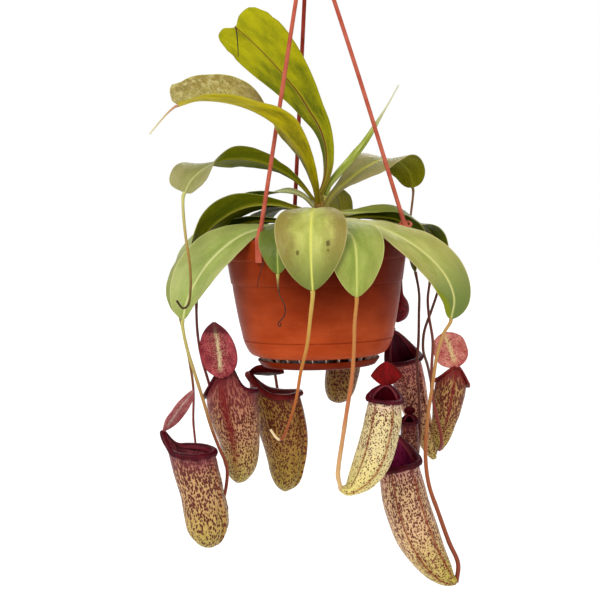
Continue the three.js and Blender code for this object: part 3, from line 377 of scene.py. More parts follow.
# Pitchers. front: plan direction of the low side of the mouth. rise: height of the neck over that side.
# spine: from the foot up to the middle of the mouth. girth: radius along the spine. lid: its length, half
# width, the direction that it points and its sideways direction.
PITCHERS = {
    "pitcher_1": dict(
        front=86, rise=14.5, tilt=8, peak=13, pinch=-0.1, scallop=1.6, waves=6,
        spine=[[-87.5, -40.5, -228.5], [-87, -43, -224], [-87, -44.5, -215], [-88.5, -45, -201],
            [-91, -45, -187], [-94.5, -45.5, -172], [-96.4, -46.5, -161.5]],
        girth=[[0, 2.4], [0.05, 8.5], [0.15, 14.2], [0.32, 16.4], [0.55, 16], [0.8, 16.6], [1, 16.8]],
        lid=dict(length=38, half=10.5, along=[0.54, 0.02, 0.84], side=[0.4, 0.88, -0.26], bend=-5),
    ),
    "pitcher_2": dict(
        front=164, rise=20, peak=6, hood=(209, 13, 13),
        spine=[[-64.5, -4.5, -187.5], [-63.5, -6.5, -182], [-62, -8, -170], [-62.5, -8, -155],
            [-65, -8, -139], [-67, -8, -129], [-68, -8, -120.5]],
        girth=[[0, 2.4], [0.07, 7.6], [0.2, 12.4], [0.4, 14.6], [0.65, 17.6], [0.85, 19], [1, 19.2]],
        lid=dict(length=47, half=14.8, along=[0.0, -0.12, 0.98], side=[0.95, -0.3, 0.06], bend=-14,
            widest=0.4, square=2.2, taper=0.72, seat=(2.4, 5)),
    ),
    "pitcher_3": dict(
        front=90, rise=24, peak=2.8, pinch=0.1, collar=1.05,
        spine=[[-29, 44, -203], [-28.5, 42, -197.5], [-27.5, 40, -187], [-27, 40, -176],
            [-28, 40, -162], [-30.5, 40, -147], [-34, 40, -130]],
        girth=[[0, 2.4], [0.07, 7.8], [0.2, 12.8], [0.38, 15.8], [0.62, 18.8], [0.82, 19.4], [1, 18.8]],
        lid=dict(length=28, half=10, along=[0.98, 0.1, 0.02], side=[0.1, -0.84, 0.5], bend=4),
    ),
    "pitcher_4": dict(
        front=172, rise=16, collar=0.7,
        spine=[[15, 84, -137], [15.5, 82, -133], [17.5, 80.5, -124], [20, 80, -111], [22, 80, -95],
            [23.5, 80, -76]],
        girth=[[0, 2.4], [0.05, 8.6], [0.15, 12], [0.32, 13.4], [0.7, 13.8], [1, 12.6]],
        lid=dict(length=26, half=9.5, along=[0.05, 0.35, 0.93], side=[1, 0, 0], bend=-20),
    ),
    "pitcher_5": dict(
        front=-4, rise=11.5, peak=2.4, collar=0.72,
        spine=[[13, -80, -182.5], [18.5, -76.5, -184], [26, -71, -179.5], [33, -66.5, -171.5],
            [39, -63, -160.5], [43, -61, -148], [46, -60, -135], [47.5, -59.5, -122]],
        girth=[[0, 2.2], [0.09, 4.8], [0.24, 10], [0.42, 13.3], [0.62, 14.2], [0.82, 13.8], [1, 12.4]],
        lid=dict(length=18, half=12, along=[0.02, -0.2, 0.98], side=[1, 0.05, -0.08], bend=10,
            widest=0.46, square=1.1, seat=(0, 1)),
    ),
    "pitcher_6": dict(
        front=12, rise=24,
        spine=[[90, 46.5, -181], [87.5, 45.5, -175], [83.5, 45, -163], [79, 45, -149],
            [74.5, 45, -134], [71, 45, -118], [68, 45, -104]],
        girth=[[0, 2.2], [0.1, 5], [0.25, 7.6], [0.45, 10], [0.7, 12.4], [0.88, 13.2], [1, 13]],
        lid=dict(length=14, half=8, along=[-0.8, 0.5, 0.3], side=[0.4, 0.8, 0]),
    ),
    "pitcher_7": dict(
        front=6, rise=26, collar=0.95,
        spine=[[101.5, -12, -268.5], [95.5, -13, -265.5], [88, -14, -257.5], [79, -15, -244],
            [70.5, -16, -226], [64.5, -16, -207], [61, -16, -190], [58.8, -16, -178]],
        girth=[[0, 2.4], [0.06, 6], [0.16, 10.6], [0.32, 14.6], [0.5, 17], [0.72, 17.4], [0.9, 16.4],
            [1, 15.8]],
        lid=dict(length=26, half=9.5, along=[-0.5, 0.35, 0.79], side=[0.8, 0.5, 0.3]),
    ),
    "pitcher_8": dict(
        front=186, rise=15, peak=4.5,
        spine=[[91.5, 3, -168], [92, 4, -163], [94, 5, -153], [97, 5, -140], [99.5, 5, -128],
            [101.5, 5, -118]],
        girth=[[0, 2.2], [0.1, 5.6], [0.25, 7.8], [0.5, 10], [0.8, 12], [1, 12.2]],
        lid=dict(length=31, half=13, along=[-0.3, -0.12, 0.94], side=[0.92, -0.15, 0.3], bend=-10,
            widest=0.52, square=2.8, seat=(1, 1)),
    ),
    "pitcher_9": dict(
        front=-8, rise=6, collar=0.55,
        spine=[[70, 24, -187.5], [70, 22.5, -183], [70, 21, -174], [70, 20, -164], [69.5, 20, -149]],
        girth=[[0, 2], [0.12, 4.4], [0.3, 6.4], [0.6, 7.4], [1, 6.8]],
        lid=dict(length=8, half=4.5, along=[0.05, -0.5, 0.8], side=[1, 0, 0]),
    ),
}

# A young closed pitcher: its line, and its radius along the line
BUD = dict(
    path=[[67, 50.5, -28], [67, 50, -38], [66.8, 50, -48], [66, 50, -57], [64.5, 50, -65],
        [62.5, 49, -72]],
    girth=[[0, 1], [0.35, 1.1], [0.5, 2], [0.6, 5], [0.74, 7], [0.88, 6.2], [0.97, 3], [1, 1.2]],
)

# What most leaf looks share. mottle: whether the upper side is streaked and blotched, with painted
# highlights. scars: share of the surface with brown scars. marks: places and sizes of large spots. end,
# turn: painted shade that darkens the tip, and from which part on. curl: colour of an underside that shows
# at the tip.
USUAL_LEAF_LOOK = dict(mottle_and_highlights=False, scars=0, marks=(), end=None, turn=0.78, curl=None)

# Colours of each leaf, as red, green and blue from 0 to 255: top and under from darkest to lightest, the
# midrib seen from above and below, and the margin. bloom: a tint that spreads in from the margin of the
# upper side, and its strength.
LEAF_LOOKS = {
    "leaf_01": dict(
        top=[(112, 124, 26), (150, 160, 60)], under=[(86, 100, 0), (200, 194, 0)],
        rib=(200, 190, 90), rib_under=(128, 78, 24), margin=(176, 168, 30),
        bloom=(170, 160, 60), strength=0.2,
    ),
    "leaf_02": dict(
        top=[(146, 126, 48), (200, 184, 96)], under=[(110, 106, 0), (228, 206, 0)],
        rib=(170, 120, 80), rib_under=(176, 150, 40), margin=(196, 184, 70),
        bloom=(150, 118, 70), strength=0.3, mottle_and_highlights=True,
    ),
    "leaf_03": dict(
        top=[(134, 136, 70), (176, 172, 104)], under=[(94, 104, 0), (138, 142, 4)],
        rib=(206, 204, 130), rib_under=(140, 140, 30), margin=(170, 160, 90),
        bloom=(176, 164, 116), strength=0.4,
    ),
    "leaf_05": dict(
        top=[(134, 132, 64), (172, 166, 96)], under=[(108, 110, 0), (150, 146, 10)],
        rib=(220, 212, 90), rib_under=(150, 150, 40), margin=(190, 176, 110),
        bloom=(170, 150, 104), strength=0.5,
    ),
    # leaf_06 is in the shade behind the stem, and its bright colours are painted light
    "leaf_06": dict(
        top=[(176, 172, 8), (216, 208, 30)], under=[(172, 168, 4), (214, 204, 16)],
        rib=(200, 196, 80), rib_under=(170, 164, 40), margin=(176, 170, 60),
        bloom=(170, 166, 60), strength=0.2,
    ),
    "leaf_07": dict(
        top=[(132, 148, 76), (178, 188, 116)], under=[(70, 88, 8), (104, 120, 18)],
        rib=(210, 214, 140), rib_under=(150, 160, 60), margin=(200, 204, 140),
        bloom=(166, 160, 104), strength=0.2,
    ),
    "leaf_08": dict(
        top=[(122, 138, 56), (160, 172, 88)], under=[(84, 96, 2), (134, 138, 10)],
        rib=(212, 214, 120), rib_under=(196, 196, 80), margin=(190, 192, 96),
        bloom=(170, 160, 100), strength=0.3,
    ),
    "leaf_10": dict(
        top=[(136, 154, 60), (182, 196, 106)], under=[(92, 106, 8), (130, 140, 20)],
        rib=(226, 228, 150), rib_under=(170, 176, 60), margin=(216, 212, 140),
        bloom=(186, 182, 116), strength=0.35, scars=0.1,
    ),
    "leaf_11": dict(
        top=[(160, 168, 70), (228, 228, 122)], under=[(92, 106, 8), (130, 140, 20)],
        rib=(238, 236, 112), rib_under=(170, 176, 60), margin=(190, 176, 110),
        bloom=(146, 124, 60), strength=0.8, scars=0.3, end=(118, 130, 56),
        marks=[(12.7, 90, 1.9), (12.4, 95.5, 1.0), (-9.8, 97, 1.5)],
    ),
    "leaf_12": dict(
        top=[(84, 104, 26), (122, 138, 54)], under=[(60, 80, 6), (90, 110, 16)],
        rib=(180, 190, 90), rib_under=(140, 150, 50), margin=(150, 156, 80),
        bloom=(126, 130, 60), strength=0.3,
    ),
    "leaf_13": dict(
        top=[(130, 150, 52), (184, 196, 96)], under=[(80, 100, 8), (120, 134, 20)],
        rib=(222, 224, 120), rib_under=(170, 176, 60), margin=(216, 210, 136),
        bloom=(166, 160, 84), strength=0.35, scars=0.1,
    ),
    "leaf_14": dict(
        top=[(152, 160, 66), (206, 206, 116)], under=[(120, 124, 4), (172, 168, 24)],
        rib=(228, 224, 136), rib_under=(176, 176, 50), margin=(226, 206, 150),
        bloom=(176, 164, 92), strength=0.45, scars=0.35, curl=(134, 144, 14),
        end=(108, 128, 58), turn=0.74,
    ),
    "leaf_15": dict(
        top=[(104, 116, 30), (140, 150, 56)], under=[(64, 78, 0), (96, 104, 4)],
        rib=(206, 208, 110), rib_under=(150, 150, 50), margin=(206, 200, 120),
        bloom=(160, 156, 84), strength=0.3, end=(70, 88, 18), turn=0.52,
    ),
    "leaf_17": dict(
        top=[(96, 112, 30), (132, 144, 58)], under=[(66, 80, 4), (96, 106, 12)],
        rib=(190, 196, 100), rib_under=(136, 140, 46), margin=(160, 156, 80),
        bloom=(146, 136, 76), strength=0.3,
    ),
    # leaf_18 lies in shadow beneath leaf_08, and its dark colours are partly painted shade
    "leaf_18": dict(
        top=[(66, 82, 16), (98, 110, 34)], under=[(44, 60, 0), (70, 84, 4)],
        rib=(160, 170, 86), rib_under=(124, 130, 46), margin=(180, 180, 110),
        bloom=(124, 124, 66), strength=0.2,
    ),
    "leaf_19": dict(
        top=[(104, 128, 42), (146, 162, 76)], under=[(76, 92, 6), (112, 122, 18)],
        rib=(200, 206, 110), rib_under=(150, 156, 56), margin=(190, 190, 120),
        bloom=(156, 150, 90), strength=0.3,
    ),
    "leaf_20": dict(
        top=[(96, 116, 36), (134, 148, 66)], under=[(70, 84, 6), (104, 114, 16)],
        rib=(190, 198, 106), rib_under=(140, 146, 50), margin=(184, 180, 114),
        bloom=(150, 142, 86), strength=0.3,
    ),
}

# What most pitcher looks share. streak: how many times longer than wide the spots are. dense: size of the
# spots, as a share of the distance between them. crowd: how much larger they grow toward the mouth. lanes:
# how strong the long streaks are. redden: the part of the length at which the wall turns to the colour of
# the mouth. veil: how far that colour covers the spots. wings: how red the wings are. keel: half width of
# the red line opposite them, as an angle. neck: colour of the high back of the mouth. depth: painted shade
# deep inside.
USUAL_CUP_LOOK = dict(
    streak=1.6, dense=0.5, crowd=0.12, lanes=0.1, redden=0.7, veil=0.3, wings=0.3, keel=0.05,
    neck=(110, 24, 34), depth=(50, 2, 12),
)

# Colours of each pitcher: the wall at the foot, middle and mouth, its spots, and its inside. spot: distance
# between spots across the pitcher, in millimetres.
CUP_LOOKS = {
    "pitcher_1": dict(
        wall=[(200, 176, 78), (220, 172, 116), (176, 96, 96)], spots=(88, 8, 22), inside=(176, 84, 92),
        spot=1.4, streak=1.9, lanes=0.3, redden=0.72, veil=0.35,
    ),
    "pitcher_2": dict(
        wall=[(200, 180, 84), (220, 164, 116), (178, 88, 84)], spots=(96, 10, 22), inside=(80, 14, 30),
        spot=1.2, redden=0.66, veil=0.35, keel=0.24, crowd=0.08,
    ),
    # pitcher_3 and pitcher_4 hang further back, and their darker walls are partly painted shade
    "pitcher_3": dict(
        wall=[(176, 152, 54), (184, 136, 66), (156, 76, 52)], spots=(96, 18, 18), inside=(90, 20, 30),
        spot=1.25, streak=1.7, redden=0.88, veil=0.6, wings=0.2, crowd=0.08, neck=(118, 30, 26),
    ),
    "pitcher_4": dict(
        wall=[(170, 136, 66), (166, 120, 70), (120, 60, 46)], spots=(88, 14, 16), inside=(80, 14, 26),
        spot=1.5, dense=0.54, redden=0.8,
    ),
    "pitcher_5": dict(
        wall=[(254, 234, 138), (255, 234, 168), (250, 210, 184)], spots=(106, 14, 26), inside=(86, 10, 26),
        spot=1.25, streak=1.4, dense=0.37, lanes=0.15, redden=0.9, veil=0.05, wings=0.7, crowd=0.11,
        neck=(120, 20, 30),
    ),
    "pitcher_6": dict(
        wall=[(216, 190, 102), (246, 176, 138), (226, 128, 120)], spots=(92, 8, 22), inside=(92, 10, 38),
        spot=1.2, streak=1.5, dense=0.47, wings=0.4, keel=0.08, depth=(66, 4, 26),
    ),
    "pitcher_7": dict(
        wall=[(210, 190, 84), (252, 206, 152), (246, 178, 158)], spots=(106, 10, 26), inside=(150, 40, 84),
        spot=1.3, dense=0.46, lanes=0.7, redden=0.86, veil=0.1, wings=0.8, crowd=0.09, depth=(96, 14, 46),
    ),
    "pitcher_8": dict(
        wall=[(196, 172, 84), (200, 152, 92), (166, 76, 66)], spots=(96, 12, 20), inside=(84, 12, 28),
        spot=1.15, dense=0.52, redden=0.84, veil=0.35, wings=0.5, keel=0.12, crowd=0.1, neck=(140, 36, 34),
    ),
    "pitcher_9": dict(
        wall=[(196, 166, 104), (196, 140, 110), (140, 60, 66)], spots=(86, 6, 20), inside=(64, 6, 22),
        spot=1.3, streak=1.5, dense=0.54, wings=0.4, crowd=0.1,
    ),
    "bud": dict(
        wall=[(120, 40, 34), (130, 16, 28), (120, 10, 22)], spots=(76, 4, 14),
        spot=1.6, streak=1.4, dense=0.36, lanes=0.2, wings=0, keel=0.02, crowd=0.1, neck=(110, 10, 20),
    ),
}

# Colours of each lid: its field, its speckles, and the pale streak down its middle with its strength; the
# streak is partly the lid's own colour and partly a painted highlight. end: the colour of its rolled end.
LID_LOOKS = {
    "pitcher_1": dict(
        field=[(186, 84, 90), (232, 144, 138)], speck=(140, 24, 44), streak=(250, 214, 196), pale=0.75,
    ),
    "pitcher_2": dict(
        field=[(140, 38, 52), (200, 86, 92)], speck=(104, 10, 28), streak=(246, 220, 168), pale=0.95,
        end=(92, 18, 34),
    ),
    "pitcher_3": dict(
        field=[(100, 22, 22), (134, 40, 34)], speck=(76, 8, 12), streak=(170, 70, 56), pale=0.1,
    ),
    "pitcher_4": dict(
        field=[(96, 16, 26), (136, 40, 44)], speck=(66, 6, 14), streak=(190, 120, 90), pale=0.3,
    ),
    "pitcher_5": dict(
        field=[(104, 0, 2), (150, 0, 8)], speck=(84, 0, 4), streak=(186, 20, 34), pale=0.2,
    ),
    "pitcher_6": dict(
        field=[(66, 4, 16), (92, 10, 26)], speck=(44, 2, 10), streak=(110, 30, 40), pale=0.1,
    ),
    "pitcher_7": dict(
        field=[(92, 8, 20), (124, 24, 36)], speck=(60, 4, 12), streak=(140, 50, 50), pale=0.1,
    ),
    "pitcher_8": dict(
        field=[(202, 96, 90), (244, 156, 138)], speck=(140, 24, 36), streak=(246, 216, 150), pale=0.9,
    ),
    "pitcher_9": dict(
        field=[(74, 6, 18), (104, 20, 32)], speck=(50, 4, 12), streak=(130, 50, 50), pale=0.1,
    ),
}

# Pitchers whose collar is young and red
RED_COLLARS = ("pitcher_3", "pitcher_4", "pitcher_8")

# Tendril colours: at the leaf, in the middle and toward the far end, and of a pale stub where there is one.
TENDRIL_LOOKS = {
    "tendril_02": [(196, 130, 100), (224, 200, 140), (236, 226, 170)],
    "tendril_03": [(214, 214, 130), (176, 132, 56), (56, 26, 14)],
    "tendril_05": [(150, 110, 60), (150, 84, 50), (130, 40, 40)],
    "tendril_06": [(120, 60, 40), (110, 50, 40), (110, 40, 36)],
    "tendril_08": [(140, 130, 50), (140, 60, 44), (150, 70, 60)],
    "tendril_10": [(206, 196, 110), (170, 84, 44), (150, 50, 46)],
    "tendril_11": [(214, 180, 86), (196, 112, 44), (150, 66, 34), (255, 226, 170)],
    "tendril_12": [(200, 200, 100), (150, 110, 60), (50, 26, 18)],
    "tendril_13": [(206, 142, 66), (200, 114, 68), (238, 192, 128)],
    "tendril_14": [(206, 160, 90), (180, 96, 50), (152, 70, 48)],
    "tendril_15": [(110, 60, 44), (120, 70, 50), (130, 50, 44)],
    "tendril_17": [(120, 60, 40), (130, 60, 44), (150, 54, 44)],
    "tendril_18": [(130, 70, 50), (130, 50, 50), (130, 40, 44)],
    "tendril_19": [(130, 90, 50), (130, 60, 44), (130, 50, 44)],
    "tendril_20": [(120, 70, 50), (120, 60, 46), (120, 46, 40)],
}

# Withered threads and stubs: the points of each, and its radius at both ends
THREADS = {
    "thread_leaf_01": dict(
        path=[(-57, -10.5, 160), (-56.4, -12, 158), (-55.6, -13, 150), (-55.3, -13.2, 142),
            (-55.4, -13, 137)],
        girth=0.55, end=0.3,
    ),
    "thread_leaf_12": dict(
        path=[(-28.5, -80, -36), (-28, -80.5, -39.5), (-25.7, -81, -43.5), (-24.2, -81, -49),
            (-25.2, -80.5, -54.5), (-28.2, -80, -58), (-29.7, -80, -60), (-29.1, -80, -62),
            (-27.7, -80, -61.4), (-27.9, -80, -59.4)],
        girth=0.46, end=0.4,
    ),
    "thread_pot": dict(
        path=[(-39.5, -59.2, -15.5), (-41, -58.6, -21), (-43.4, -57, -28), (-44.8, -56, -34.5)],
        girth=0.4, end=0.22,
    ),
}


def radians(degrees):
    return degrees * math.pi / 180


def outward(bearing):
    return Vector((math.sin(radians(bearing)), -math.cos(radians(bearing)), 0))


def sideways(bearing):
    return Vector((math.cos(radians(bearing)), math.sin(radians(bearing)), 0))


def clamp01(x):
    return min(1, max(0, x))


def smooth(x):
    x = clamp01(x)
    return x * x * (3 - 2 * x)


def mix(a, b, t):
    return a + (b - a) * t


def bell(x):
    return math.exp(-(x ** 2))


def half_turn(angle):
    """The same direction, as an angle between minus pi and pi."""
    return math.atan2(math.sin(angle), math.cos(angle))


def round_angles(count):
    return [2 * math.pi * k / count for k in range(count)]


def polar(radius, angle, z=0):
    return Vector((radius * math.cos(angle), radius * math.sin(angle), z))


def along(pairs, t):
    """A value along a list of (place, value) pairs, without corners at the pairs."""
    last = len(pairs) - 1
    k = last - 1
    if t < pairs[last][0]:
        k = max(0, min(last - 1, next(i for i, p in enumerate(pairs) if p[0] > t) - 1))

    def slope(n):
        a = pairs[max(0, n - 1)]
        b = pairs[min(last, n + 1)]
        return (b[1] - a[1]) / (b[0] - a[0])

    t0, v0 = pairs[k]
    t1, v1 = pairs[k + 1]
    h = t1 - t0
    x = clamp01((t - t0) / h)
    start = v0 * (1 + 2 * x) * (1 - x) ** 2 + h * slope(k) * x * (1 - x) ** 2
    return start + v1 * x * x * (3 - 2 * x) + h * slope(k + 1) * x * x * (x - 1)


class Curve:
    """A smooth line through points, read by its length from 0 to 1."""

    STEPS = 240

    def __init__(self, points):
        self.points = [Vector(p) for p in points]
        line = [self.raw(i / self.STEPS) for i in range(self.STEPS + 1)]
        self.lengths = [0]
        for a, b in zip(line, line[1:]):
            self.lengths.append(self.lengths[-1] + (b - a).length)
        self.length = self.lengths[-1]

    def raw(self, t):
        p = self.points
        last = len(p) - 1
        i = min(int(last * t), last - 1)
        w = last * t - i
        before = p[i - 1] if i > 0 else 2 * p[0] - p[1]
        after = p[i + 2] if i + 2 <= last else 2 * p[last] - p[last - 1]
        a, b = p[i], p[i + 1]
        d0 = max(1e-4, math.sqrt((a - before).length))
        d1 = max(1e-4, math.sqrt((b - a).length))
        d2 = max(1e-4, math.sqrt((after - b).length))
        leave = ((a - before) / d0 - (b - before) / (d0 + d1) + (b - a) / d1) * d1
        reach = ((b - a) / d1 - (after - a) / (d1 + d2) + (after - b) / d2) * d1
        return (a + leave * w + (3 * (b - a) - 2 * leave - reach) * w * w
            + (2 * (a - b) + leave + reach) * w ** 3)

    def place(self, u):
        want = clamp01(u) * self.length
        low, high = 0, self.STEPS
        while high - low > 1:
            middle = (low + high) // 2
            if self.lengths[middle] <= want:
                low = middle
            else:
                high = middle
        span = self.lengths[high] - self.lengths[low]
        return (low + (want - self.lengths[low]) / max(span, 1e-9)) / self.STEPS

    def at(self, u):
        return self.raw(self.place(u))

    def heading(self, u):
        t = self.place(u)
        return (self.raw(min(1, t + 1e-3)) - self.raw(max(0, t - 1e-3))).normalized()


class Shell:
    """The surface of one piece. lay: where each point is when the piece is laid out flat or straight, in
    millimetres. part: how far along the piece the point is, from 0 to 1."""

    def __init__(self):
        self.points = []
        self.lay = []
        self.part = []
        self.faces = []
        self.sides = []

    def add(self, point, lay=(0, 0, 0), part=0):
        self.points.append(Vector(point))
        self.lay.append(tuple(lay))
        self.part.append(part)
        return len(self.points) - 1

    def face(self, corners, side=0):
        self.faces.append(tuple(corners))
        self.sides.append(side)

    def net(self, rows, side=0, round_rows=False, round_columns=False):
        """Faces between rows of point numbers. Round rows and round columns close on themselves."""
        pairs = list(zip(rows, rows[1:]))
        if round_columns:
            pairs.append((rows[-1], rows[0]))
        for low, high in pairs:
            steps = range(len(low) if round_rows else len(low) - 1)
            for j in steps:
                k = (j + 1) % len(low)
                self.face((low[j], low[k], high[k], high[j]), side)

    def cap(self, ring, side=0):
        centre = sum((self.points[i] for i in ring), Vector()) / len(ring)
        middle = self.add(centre, self.lay[ring[0]], self.part[ring[0]])
        for j, i in enumerate(ring):
            self.face((i, ring[(j + 1) % len(ring)], middle), side)

    def body(self, rings):
        """A round body through the rings, closed at both ends."""
        self.net(rings, 0, round_rows=True)
        self.cap(rings[0])
        self.cap(rings[-1])


def make_piece(name, shell, materials, replaces=(), corner=50):
    """A mesh object of the shell, riding on the plant's one body."""
    mesh = bpy.data.meshes.new(name)
    shift = Vector((0, 0, RIM_Z))
    mesh.from_pydata([(p + shift) * MM for p in shell.points], [], shell.faces)
    for material in materials:
        mesh.materials.append(material)
    mesh.polygons.foreach_set("material_index", shell.sides)
    lay = mesh.attributes.new("lay", "FLOAT_VECTOR", "POINT")
    lay.data.foreach_set("vector", [x for p in shell.lay for x in p])
    part = mesh.attributes.new("part", "FLOAT", "POINT")
    part.data.foreach_set("value", shell.part)
    shape = bmesh.new()
    shape.from_mesh(mesh)
    bmesh.ops.recalc_face_normals(shape, faces=shape.faces)
    shape.to_mesh(mesh)
    shape.free()
    mesh.shade_smooth()
    mesh.set_sharp_from_angle(angle=radians(corner))
    piece = bpy.data.objects.new(name, mesh)
    bpy.context.scene.collection.objects.link(piece)
    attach(piece, "root")
    if replaces:
        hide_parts(*replaces)


def rgb(colour):
    """A colour from 0 to 255 as the light that it reflects."""
    return tuple(REFLECTED * (c / 255) ** 2.2 for c in colour) + (1,)


class Look:
    """One material, built from nodes. Its colour is set once, and then painted and shaded over."""

    def __init__(self, name, **values):
        self.material = bpy.data.materials.new(name)
        self.material.use_nodes = True
        self.tree = self.material.node_tree
        self.tree.nodes.clear()
        self.colour = None
        self.shader = self.tree.nodes.new("ShaderNodeBsdfPrincipled")
        output = self.tree.nodes.new("ShaderNodeOutputMaterial")
        self.tree.links.new(self.shader.outputs[0], output.inputs["Surface"])
        for socket, value in values.items():
            self.shader.inputs[socket.replace("_", " ")].default_value = value

    def put(self, value, socket):
        if isinstance(value, bpy.types.NodeSocket):
            self.tree.links.new(value, socket)
        elif isinstance(value, tuple) and len(value) == 3 and socket.type == "RGBA":
            socket.default_value = rgb(value)
        else:
            socket.default_value = value

    def node(self, kind, inputs=None, **settings):
        node = self.tree.nodes.new("ShaderNode" + kind)
        for key, value in settings.items():
            setattr(node, key, value)
        for socket, value in (inputs or {}).items():
            self.put(value, node.inputs[socket])
        return node

    def read(self, name):
        node = self.node("Attribute", attribute_name=name)
        return node.outputs["Vector"] if name == "lay" else node.outputs["Fac"]

    def spread(self):
        """Where a point lies on the piece laid out flat or straight, and how far along the piece it is."""
        return self.read("lay"), self.read("part")

    def space(self):
        """Position in the piece's own space, in millimetres."""
        return self.scaled(self.node("TexCoord").outputs["Object"], (1000, 1000, 1000))

    def scaled(self, vector, factors):
        return self.node("VectorMath", {0: vector, 1: factors}, operation="MULTIPLY").outputs[0]

    def shifted(self, vector, amount, size):
        """The vector, moved about by a soft noise."""
        wander = self.node("TexNoise", {"Vector": vector, "Scale": size, "Detail": 2}).outputs["Color"]
        centred = self.node("VectorMath", {0: wander, 1: (0.5, 0.5, 0.5)}, operation="SUBTRACT").outputs[0]
        step = self.scaled(centred, (amount, amount, amount))
        return self.node("VectorMath", {0: vector, 1: step}, operation="ADD").outputs[0]

    def axes(self, vector):
        return self.node("SeparateXYZ", {0: vector}).outputs

    def maths(self, operation, *values):
        return self.node("Math", dict(enumerate(values)), operation=operation).outputs[0]

    def times(self, a, b):
        return self.maths("MULTIPLY", a, b)

    def times_plus(self, a, b, c):
        return self.maths("MULTIPLY_ADD", a, b, c)

    def minus(self, a, b):
        return self.maths("SUBTRACT", a, b)

    def absolute(self, a):
        return self.maths("ABSOLUTE", a)

    def apart(self, a, b):
        return self.absolute(self.minus(a, b))

    def paced(self, vector, pace):
        """The vector and scale for a texture whose pace is one number, or one for each axis."""
        return (self.scaled(vector, pace), 1.0) if isinstance(pace, tuple) else (vector, pace)

    def noise(self, vector, pace, detail=3.0, roughness=0.55):
        place, scale = self.paced(vector, pace)
        inputs = {"Vector": place, "Scale": scale, "Detail": detail, "Roughness": roughness}
        return self.node("TexNoise", inputs).outputs["Fac"]

    def cells(self, vector, pace=1.0, feature="F1", randomness=1.0):
        place, scale = self.paced(vector, pace)
        inputs = {"Vector": place, "Scale": scale, "Randomness": randomness}
        return self.node("TexVoronoi", inputs, feature=feature).outputs

    def fade(self, value, low, high, start=0.0, end=1.0):
        """From the start to the end, softly, as the value goes from low to high."""
        inputs = {"Value": value, "From Min": low, "From Max": high, "To Min": start, "To Max": end}
        return self.node("MapRange", inputs, interpolation_type="SMOOTHSTEP").outputs["Result"]

    def fall(self, value, low, high, start=1.0):
        return self.fade(value, low, high, start, 0.0)

    def ramp(self, value, stops):
        """A colour from (place, colour) stops."""
        node = self.node("ValToRGB", {"Fac": value})
        elements = node.color_ramp.elements
        while len(elements) < len(stops):
            elements.new(0.5)
        for element, (place, colour) in zip(elements, stops):
            element.position = place
            element.color = rgb(colour)
        return node.outputs["Color"]

    def blend(self, share, a, b, mode="MIX"):
        node = self.tree.nodes.new("ShaderNodeMix")
        node.data_type = "RGBA"
        node.blend_type = mode
        self.put(share, node.inputs[0])
        self.put(a, node.inputs[6])
        self.put(b, node.inputs[7])
        return node.outputs[2]

    def paint(self, share, colour):
        """Lays another colour over a share of the surface."""
        self.colour = self.blend(share, self.colour, colour)

    def shade(self, value, low, high):
        """Makes the colour darker or brighter as the value goes from 0 to 1."""
        grey = self.fade(value, 0, 1, low, high)
        level = self.node("CombineXYZ", {0: grey, 1: grey, 2: grey}).outputs[0]
        self.colour = self.blend(1.0, self.colour, level, "MULTIPLY")

    def finish(self, roughness, heights=()):
        """Sets the colour and roughness, and a bump from (height, distance in millimetres) pairs."""
        self.put(self.colour, self.shader.inputs["Base Color"])
        self.put(roughness, self.shader.inputs["Roughness"])
        normal = None
        for height, distance in heights:
            bump = self.node("Bump", {"Height": height, "Distance": distance * MM, "Strength": 1.0})
            if normal:
                self.put(normal, bump.inputs["Normal"])
            normal = bump.outputs["Normal"]
        if normal:
            self.put(normal, self.shader.inputs["Normal"])
        return self.material


